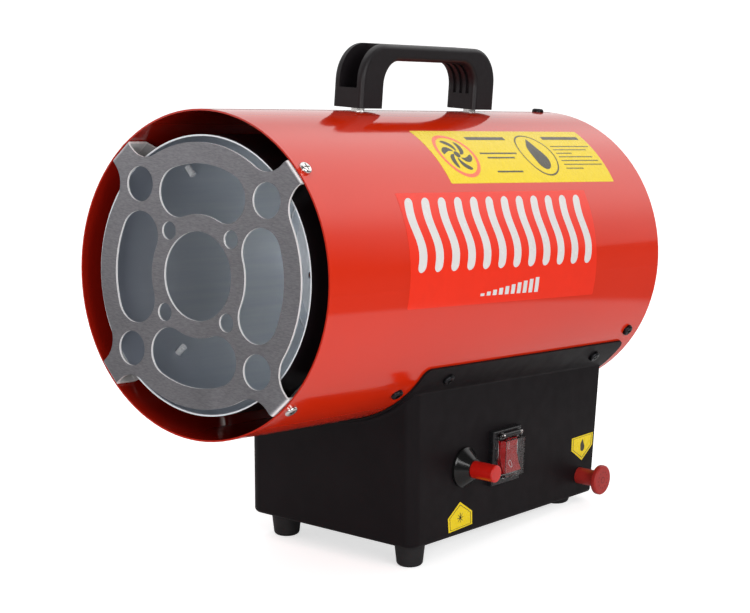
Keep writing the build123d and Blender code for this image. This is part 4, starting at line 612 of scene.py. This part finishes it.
def arrow_label(name, corners):
    """Five-sided arrow: a flat film between its corners, the first below and the rest
    counter-clockwise, and a thin line inside its edge, to which a sign can be added."""
    outline = np.array(corners, float).T
    plain = Print(name, on_panel, 0, label_yellow, record_slot="base_black")
    count = outline.shape[1]
    here = np.arange(count)
    after = np.roll(here, -1)
    sides = np.stack([here + count, after + count, after, here], -1)
    plain.keep(np.concatenate([on_panel(*outline, FILM), on_panel(*outline, 0)]), sides)
    plain.faces += [here.tolist(), (here[::-1] + count).tolist()]
    plain.made()
    line = Print(name + "_line", on_panel, FILM, label_ink, record_slot="base_black")
    inner_edge = ARROW_LINE_INSET + ARROW_LINE_WIDTH
    line.band(towards_middle(outline, ARROW_LINE_INSET), towards_middle(outline, inner_edge))
    return line


IGNITER_ARROW = ((-22.1, 18.2), (3.2, 17.9), (3.0, 26.6), (-10.1, 35.6), (-23.0, 27.6))
igniter_line = arrow_label("label_igniter", IGNITER_ARROW)
SPARK_X, SPARK_Y = -9.8, 25.2
for angle in range(0, 180, 45):
    igniter_line.needle(SPARK_X, SPARK_Y, angle, reach=3.6, half_width=0.28)
igniter_line.made()

VALVE_ARROW = ((131.3, 30.0), (144.2, 38.1), (145.0, 46.8), (118.8, 47.8), (118.3, 39.3))
valve_line = arrow_label("label_valve", VALVE_ARROW)
valve_line.flame(131.8, low=36.4, height=8.4, width=5.0, lean=0.5)
valve_line.made()

# ---------------------------------------------------------------- marks on the rocker and the knob

# the rocker's middle on the panel, its pivot and tip, and its dished face as places and rises
SWITCH = np.array([PANEL_X, 35.6 * MM, 55.9 * MM])
ROCKER_PIVOT_RISE = 2.0
ROCKER_SWING = math.radians(9)
ROCKER_PLACES = (-10.4, -5.2, 0, 5.2, 10.4)
ROCKER_RISES = (5.0, 3.5, 3.0, 3.5, 5.0)


def on_rocker(x, y, lift):
    """Point on the dished face of the tipped rocker: x to the rear and y up from its middle."""
    out = np.interp(y, ROCKER_PLACES, ROCKER_RISES) + lift / MM
    up = y * math.cos(ROCKER_SWING) + out * math.sin(ROCKER_SWING)
    rise = ROCKER_PIVOT_RISE - y * math.sin(ROCKER_SWING) + out * math.cos(ROCKER_SWING)
    sideways = (rise * MM)[..., None] * ACROSS
    return SWITCH + sideways + (up * MM)[..., None] * PANEL_UP + (x * MM)[..., None] * PANEL_BACK


# the ring's height and half sizes, the bar's ends, and the width of both lines
OFF_Y, OFF_HALF_SIZE = -5.4, np.array([[1.75], [2.45]])
ON_LOW, ON_HIGH = 4.0, 8.4
MARK_LINE = 0.5

turn = np.linspace(0, 2 * np.pi, 48, endpoint=False)
oval = np.stack([np.cos(turn), np.sin(turn)])
off_middle = np.array([[0.0], [OFF_Y]])
bar_x = np.linspace(-MARK_LINE / 2, MARK_LINE / 2, 3)
rocker_marks = Print("rocker_marks", on_rocker, 0.02 * MM, rocker_ink, "rocker", "rocker_red")
rocker_marks.band(
    off_middle + oval * OFF_HALF_SIZE, off_middle + oval * (OFF_HALF_SIZE - MARK_LINE)
)
rocker_marks.sheet(bar_x[:, None], np.linspace(ON_LOW, ON_HIGH, 10)[None, :])
rocker_marks.made()

VALVE_REACH = 19.0 * MM
VALVE_CAP_X = PANEL_X + VALVE_REACH
VALVE_Y, VALVE_Z = 128.5, 20.0
CAP_DOTS, CAP_DOT_CIRCLE = 12, 5.4


def on_valve_cap(x, y, lift):
    """Point on the valve knob's flat end: x to the rear and y up from its middle."""
    outward = np.full(np.shape(x), VALVE_CAP_X + lift)
    return np.stack([outward, (x + VALVE_Y) * MM, (y + VALVE_Z) * MM], -1)


cap_mark = Print("valve_cap_mark", on_valve_cap, -FILM / 2, cap_ink, "valve_push", "valve_red")
cap_mark.ring(0, 0, 2.3, width=0.6)
for dot in range(CAP_DOTS):
    turn = math.radians(360 / CAP_DOTS * dot)
    cap_mark.disc(CAP_DOT_CIRCLE * math.cos(turn), CAP_DOT_CIRCLE * math.sin(turn), 0.55)
cap_mark.made()

# ---------------------------------------------------------------- return springs

WIRE_RADIUS = 0.5 * MM
WIRE_SIDES = 12
SPRING_TURNS = 6
STEPS_PER_TURN = 48


def return_spring(node_name):
    """Coil that stands in the place of the hidden spring part. With t from 0 to 2 pi times the
    turns, its middle line is x = start + rise t, y = middle + r cos t, z = middle + r sin t, in a
    round wire."""
    node = nodes[node_name]
    places = np.array([node.matrix_world @ vertex.co for vertex in node.data.vertices])
    low, high = places.min(0), places.max(0)
    length = high[0] - low[0]
    r = (high[1] - low[1]) / 2 - WIRE_RADIUS
    t = np.linspace(0, 2 * np.pi * SPRING_TURNS, SPRING_TURNS * STEPS_PER_TURN + 1)
    rise = (length - 2 * WIRE_RADIUS) / t[-1]
    flat = np.zeros_like(t)
    line = np.stack([low[0] + WIRE_RADIUS + rise * t, r * np.cos(t), r * np.sin(t)], -1)
    line[:, 1:] += (low[1:] + high[1:]) / 2
    along = np.stack([flat + rise, -r * np.sin(t), r * np.cos(t)], -1)
    along /= np.linalg.norm(along, axis=1, keepdims=True)
    inward = np.stack([flat, -np.cos(t), -np.sin(t)], -1)
    sideways = np.cross(along, inward)
    turn = np.linspace(0, 2 * np.pi, WIRE_SIDES, endpoint=False)[None, :, None]
    wire = inward[:, None] * np.cos(turn) + sideways[:, None] * np.sin(turn)
    points = (line[:, None] + WIRE_RADIUS * wire).reshape(-1, 3)
    index = np.arange(len(points)).reshape(-1, WIRE_SIDES)
    after = np.roll(index, -1, axis=1)
    sides = np.stack([index[:-1], after[:-1], after[1:], index[1:]], -1).reshape(-1, 4)
    ends = [index[0, ::-1].tolist(), index[-1].tolist()]
    mesh = bpy.data.meshes.new(node_name + "_coil")
    mesh.from_pydata(points.tolist(), [], sides.tolist() + ends)
    mesh.update()
    mesh.materials.append(finishes["spring_steel"].material)
    coil = placed(node_name + "_coil", mesh)
    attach(coil, "heater")
    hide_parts(node_name)
    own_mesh(coil)


return_spring("igniter_spring")
return_spring("valve_spring")

# ---------------------------------------------------------------- floor

FLOOR_HALF = 14
FLOOR_GLOW = 0.62
# glossy surfaces see a pale table of this radius, and a grey floor beyond it
TABLE_RADIUS = 0.45
TABLE_EDGE = TABLE_RADIUS * 1.1
FLOOR_GREY = 0.22

floor_corners = [
    (FLOOR_HALF * x, FLOOR_HALF * y, 0) for x, y in ((-1, -1), (1, -1), (1, 1), (-1, 1))
]
floor_mesh = bpy.data.meshes.new("floor")
floor_mesh.from_pydata(floor_corners, [], [(0, 1, 2, 3)])
floor = placed("floor", floor_mesh)

ground = Finish("pale_floor", (0.86, 0.86, 0.86), 0.9, specular=0.1)
ground.mottle(3, 0.004)
light_path = ground.add("ShaderNodeLightPath")
away = ground.add("ShaderNodeVectorMath", operation="LENGTH")
ground.join(ground.places.outputs["Object"], away.inputs[0])
outside = ground.spread(away.outputs["Value"], 0.0, 1.0, TABLE_RADIUS, TABLE_EDGE)
beyond = ground.add("ShaderNodeMath", operation="MULTIPLY")
ground.join(outside, beyond.inputs[0])
ground.join(light_path.outputs["Is Glossy Ray"], beyond.inputs[1])
ground.blend(beyond.outputs["Value"], (FLOOR_GREY, FLOOR_GREY, FLOOR_GREY))
glow = ground.add("ShaderNodeMath", operation="MULTIPLY")
glow.inputs[1].default_value = FLOOR_GLOW
ground.join(light_path.outputs["Is Camera Ray"], glow.inputs[0])
ground.set("Emission Color", (1, 1, 1, 1))
ground.join(glow.outputs["Value"], ground.shader.inputs["Emission Strength"])
floor_mesh.materials.append(ground.material)

# ---------------------------------------------------------------- backdrop

# each pale side of the studio that shines back: its direction, the dot product at which it starts
# and at which it is full, and its strength
MIRRORED_SIDES = (
    ((-0.592, 0.764, 0.259), 0.2, 0.5, 0.9),
    ((0.074, 0.845, 0.53), 0.84, 0.97, 0.6),
    ((-0.6, -0.8, 0.0), 0.3, 0.95, 0.28),
)
MIRRORED_REST = 0.10
SOFT_SIDE = ((0.2, 0.5, 0.84), -0.3, 0.8, 0.40)
SOFT_REST = 0.25

world = bpy.data.worlds.new("studio")
bpy.context.scene.world = world
world.use_nodes = True
sky = world.node_tree
backdrop = sky.nodes["Background"]
backdrop.inputs["Color"].default_value = (1, 1, 1, 1)
path = sky.nodes.new("ShaderNodeLightPath")
way = sky.nodes.new("ShaderNodeTexCoord").outputs["Generated"]


def sky_math(operation, first, second):
    """One sum or product in the backdrop; each side is a number or a socket."""
    node = sky.nodes.new("ShaderNodeMath")
    node.operation = operation
    for socket, value in zip(node.inputs, (first, second)):
        if isinstance(value, (int, float)):
            socket.default_value = value
        else:
            sky.links.new(value, socket)
    return node.outputs[0]


def sky_patch(towards, start, end, strength):
    """Brightness that grows as the direction turns towards one side of the studio."""
    near = sky.nodes.new("ShaderNodeVectorMath")
    near.operation = "DOT_PRODUCT"
    near.inputs[1].default_value = towards
    sky.links.new(way, near.inputs[0])
    fade = sky.nodes.new("ShaderNodeMapRange")
    fade.interpolation_type = "SMOOTHSTEP"
    fade.inputs["From Min"].default_value = start
    fade.inputs["From Max"].default_value = end
    fade.inputs["To Max"].default_value = strength
    sky.links.new(near.outputs["Value"], fade.inputs["Value"])
    return fade.outputs["Result"]


def sky_blend(share, first, second):
    """First level where the share is 0, second where it is 1."""
    return sky_math("ADD", first, sky_math("MULTIPLY", share, sky_math("SUBTRACT", second, first)))


mirrored = MIRRORED_REST
for side in MIRRORED_SIDES:
    mirrored = sky_math("ADD", mirrored, sky_patch(*side))
soft = sky_math("ADD", sky_patch(*SOFT_SIDE), SOFT_REST)
shown = sky_math("MAXIMUM", path.outputs["Is Camera Ray"], path.outputs["Is Transmission Ray"])
level = sky_blend(path.outputs["Is Glossy Ray"], soft, mirrored)
sky.links.new(sky_blend(shown, level, 1.0), backdrop.inputs["Strength"])

# ---------------------------------------------------------------- lamps

LAMP_AIM = Vector((0, 0, 0.17))
# name, place, width, height and power
LAMPS = (
    ("top_softbox", (-0.3, 0.1, 1.9), 1.6, 1.2, 7),
    ("key_softbox", (2.0, -0.6, 0.9), 1.0, 1.0, 19),
    ("front_softbox", (0.95, -1.9, 0.42), 0.5, 0.5, 10),
    ("left_softbox", (-1.8, -1.6, 1.0), 1.0, 1.4, 5),
)


def softbox(name, place, width, height, power):
    """Rectangular studio lamp that looks at the middle of the object."""
    lamp = placed(name, bpy.data.lights.new(name, "AREA"))
    lamp.data.shape = "RECTANGLE"
    lamp.data.size = width
    lamp.data.size_y = height
    lamp.data.energy = power
    aimed(lamp, place, LAMP_AIM - Vector(place))


for lamp_settings in LAMPS:
    softbox(*lamp_settings)

bpy.context.scene.view_settings.view_transform = "Standard"
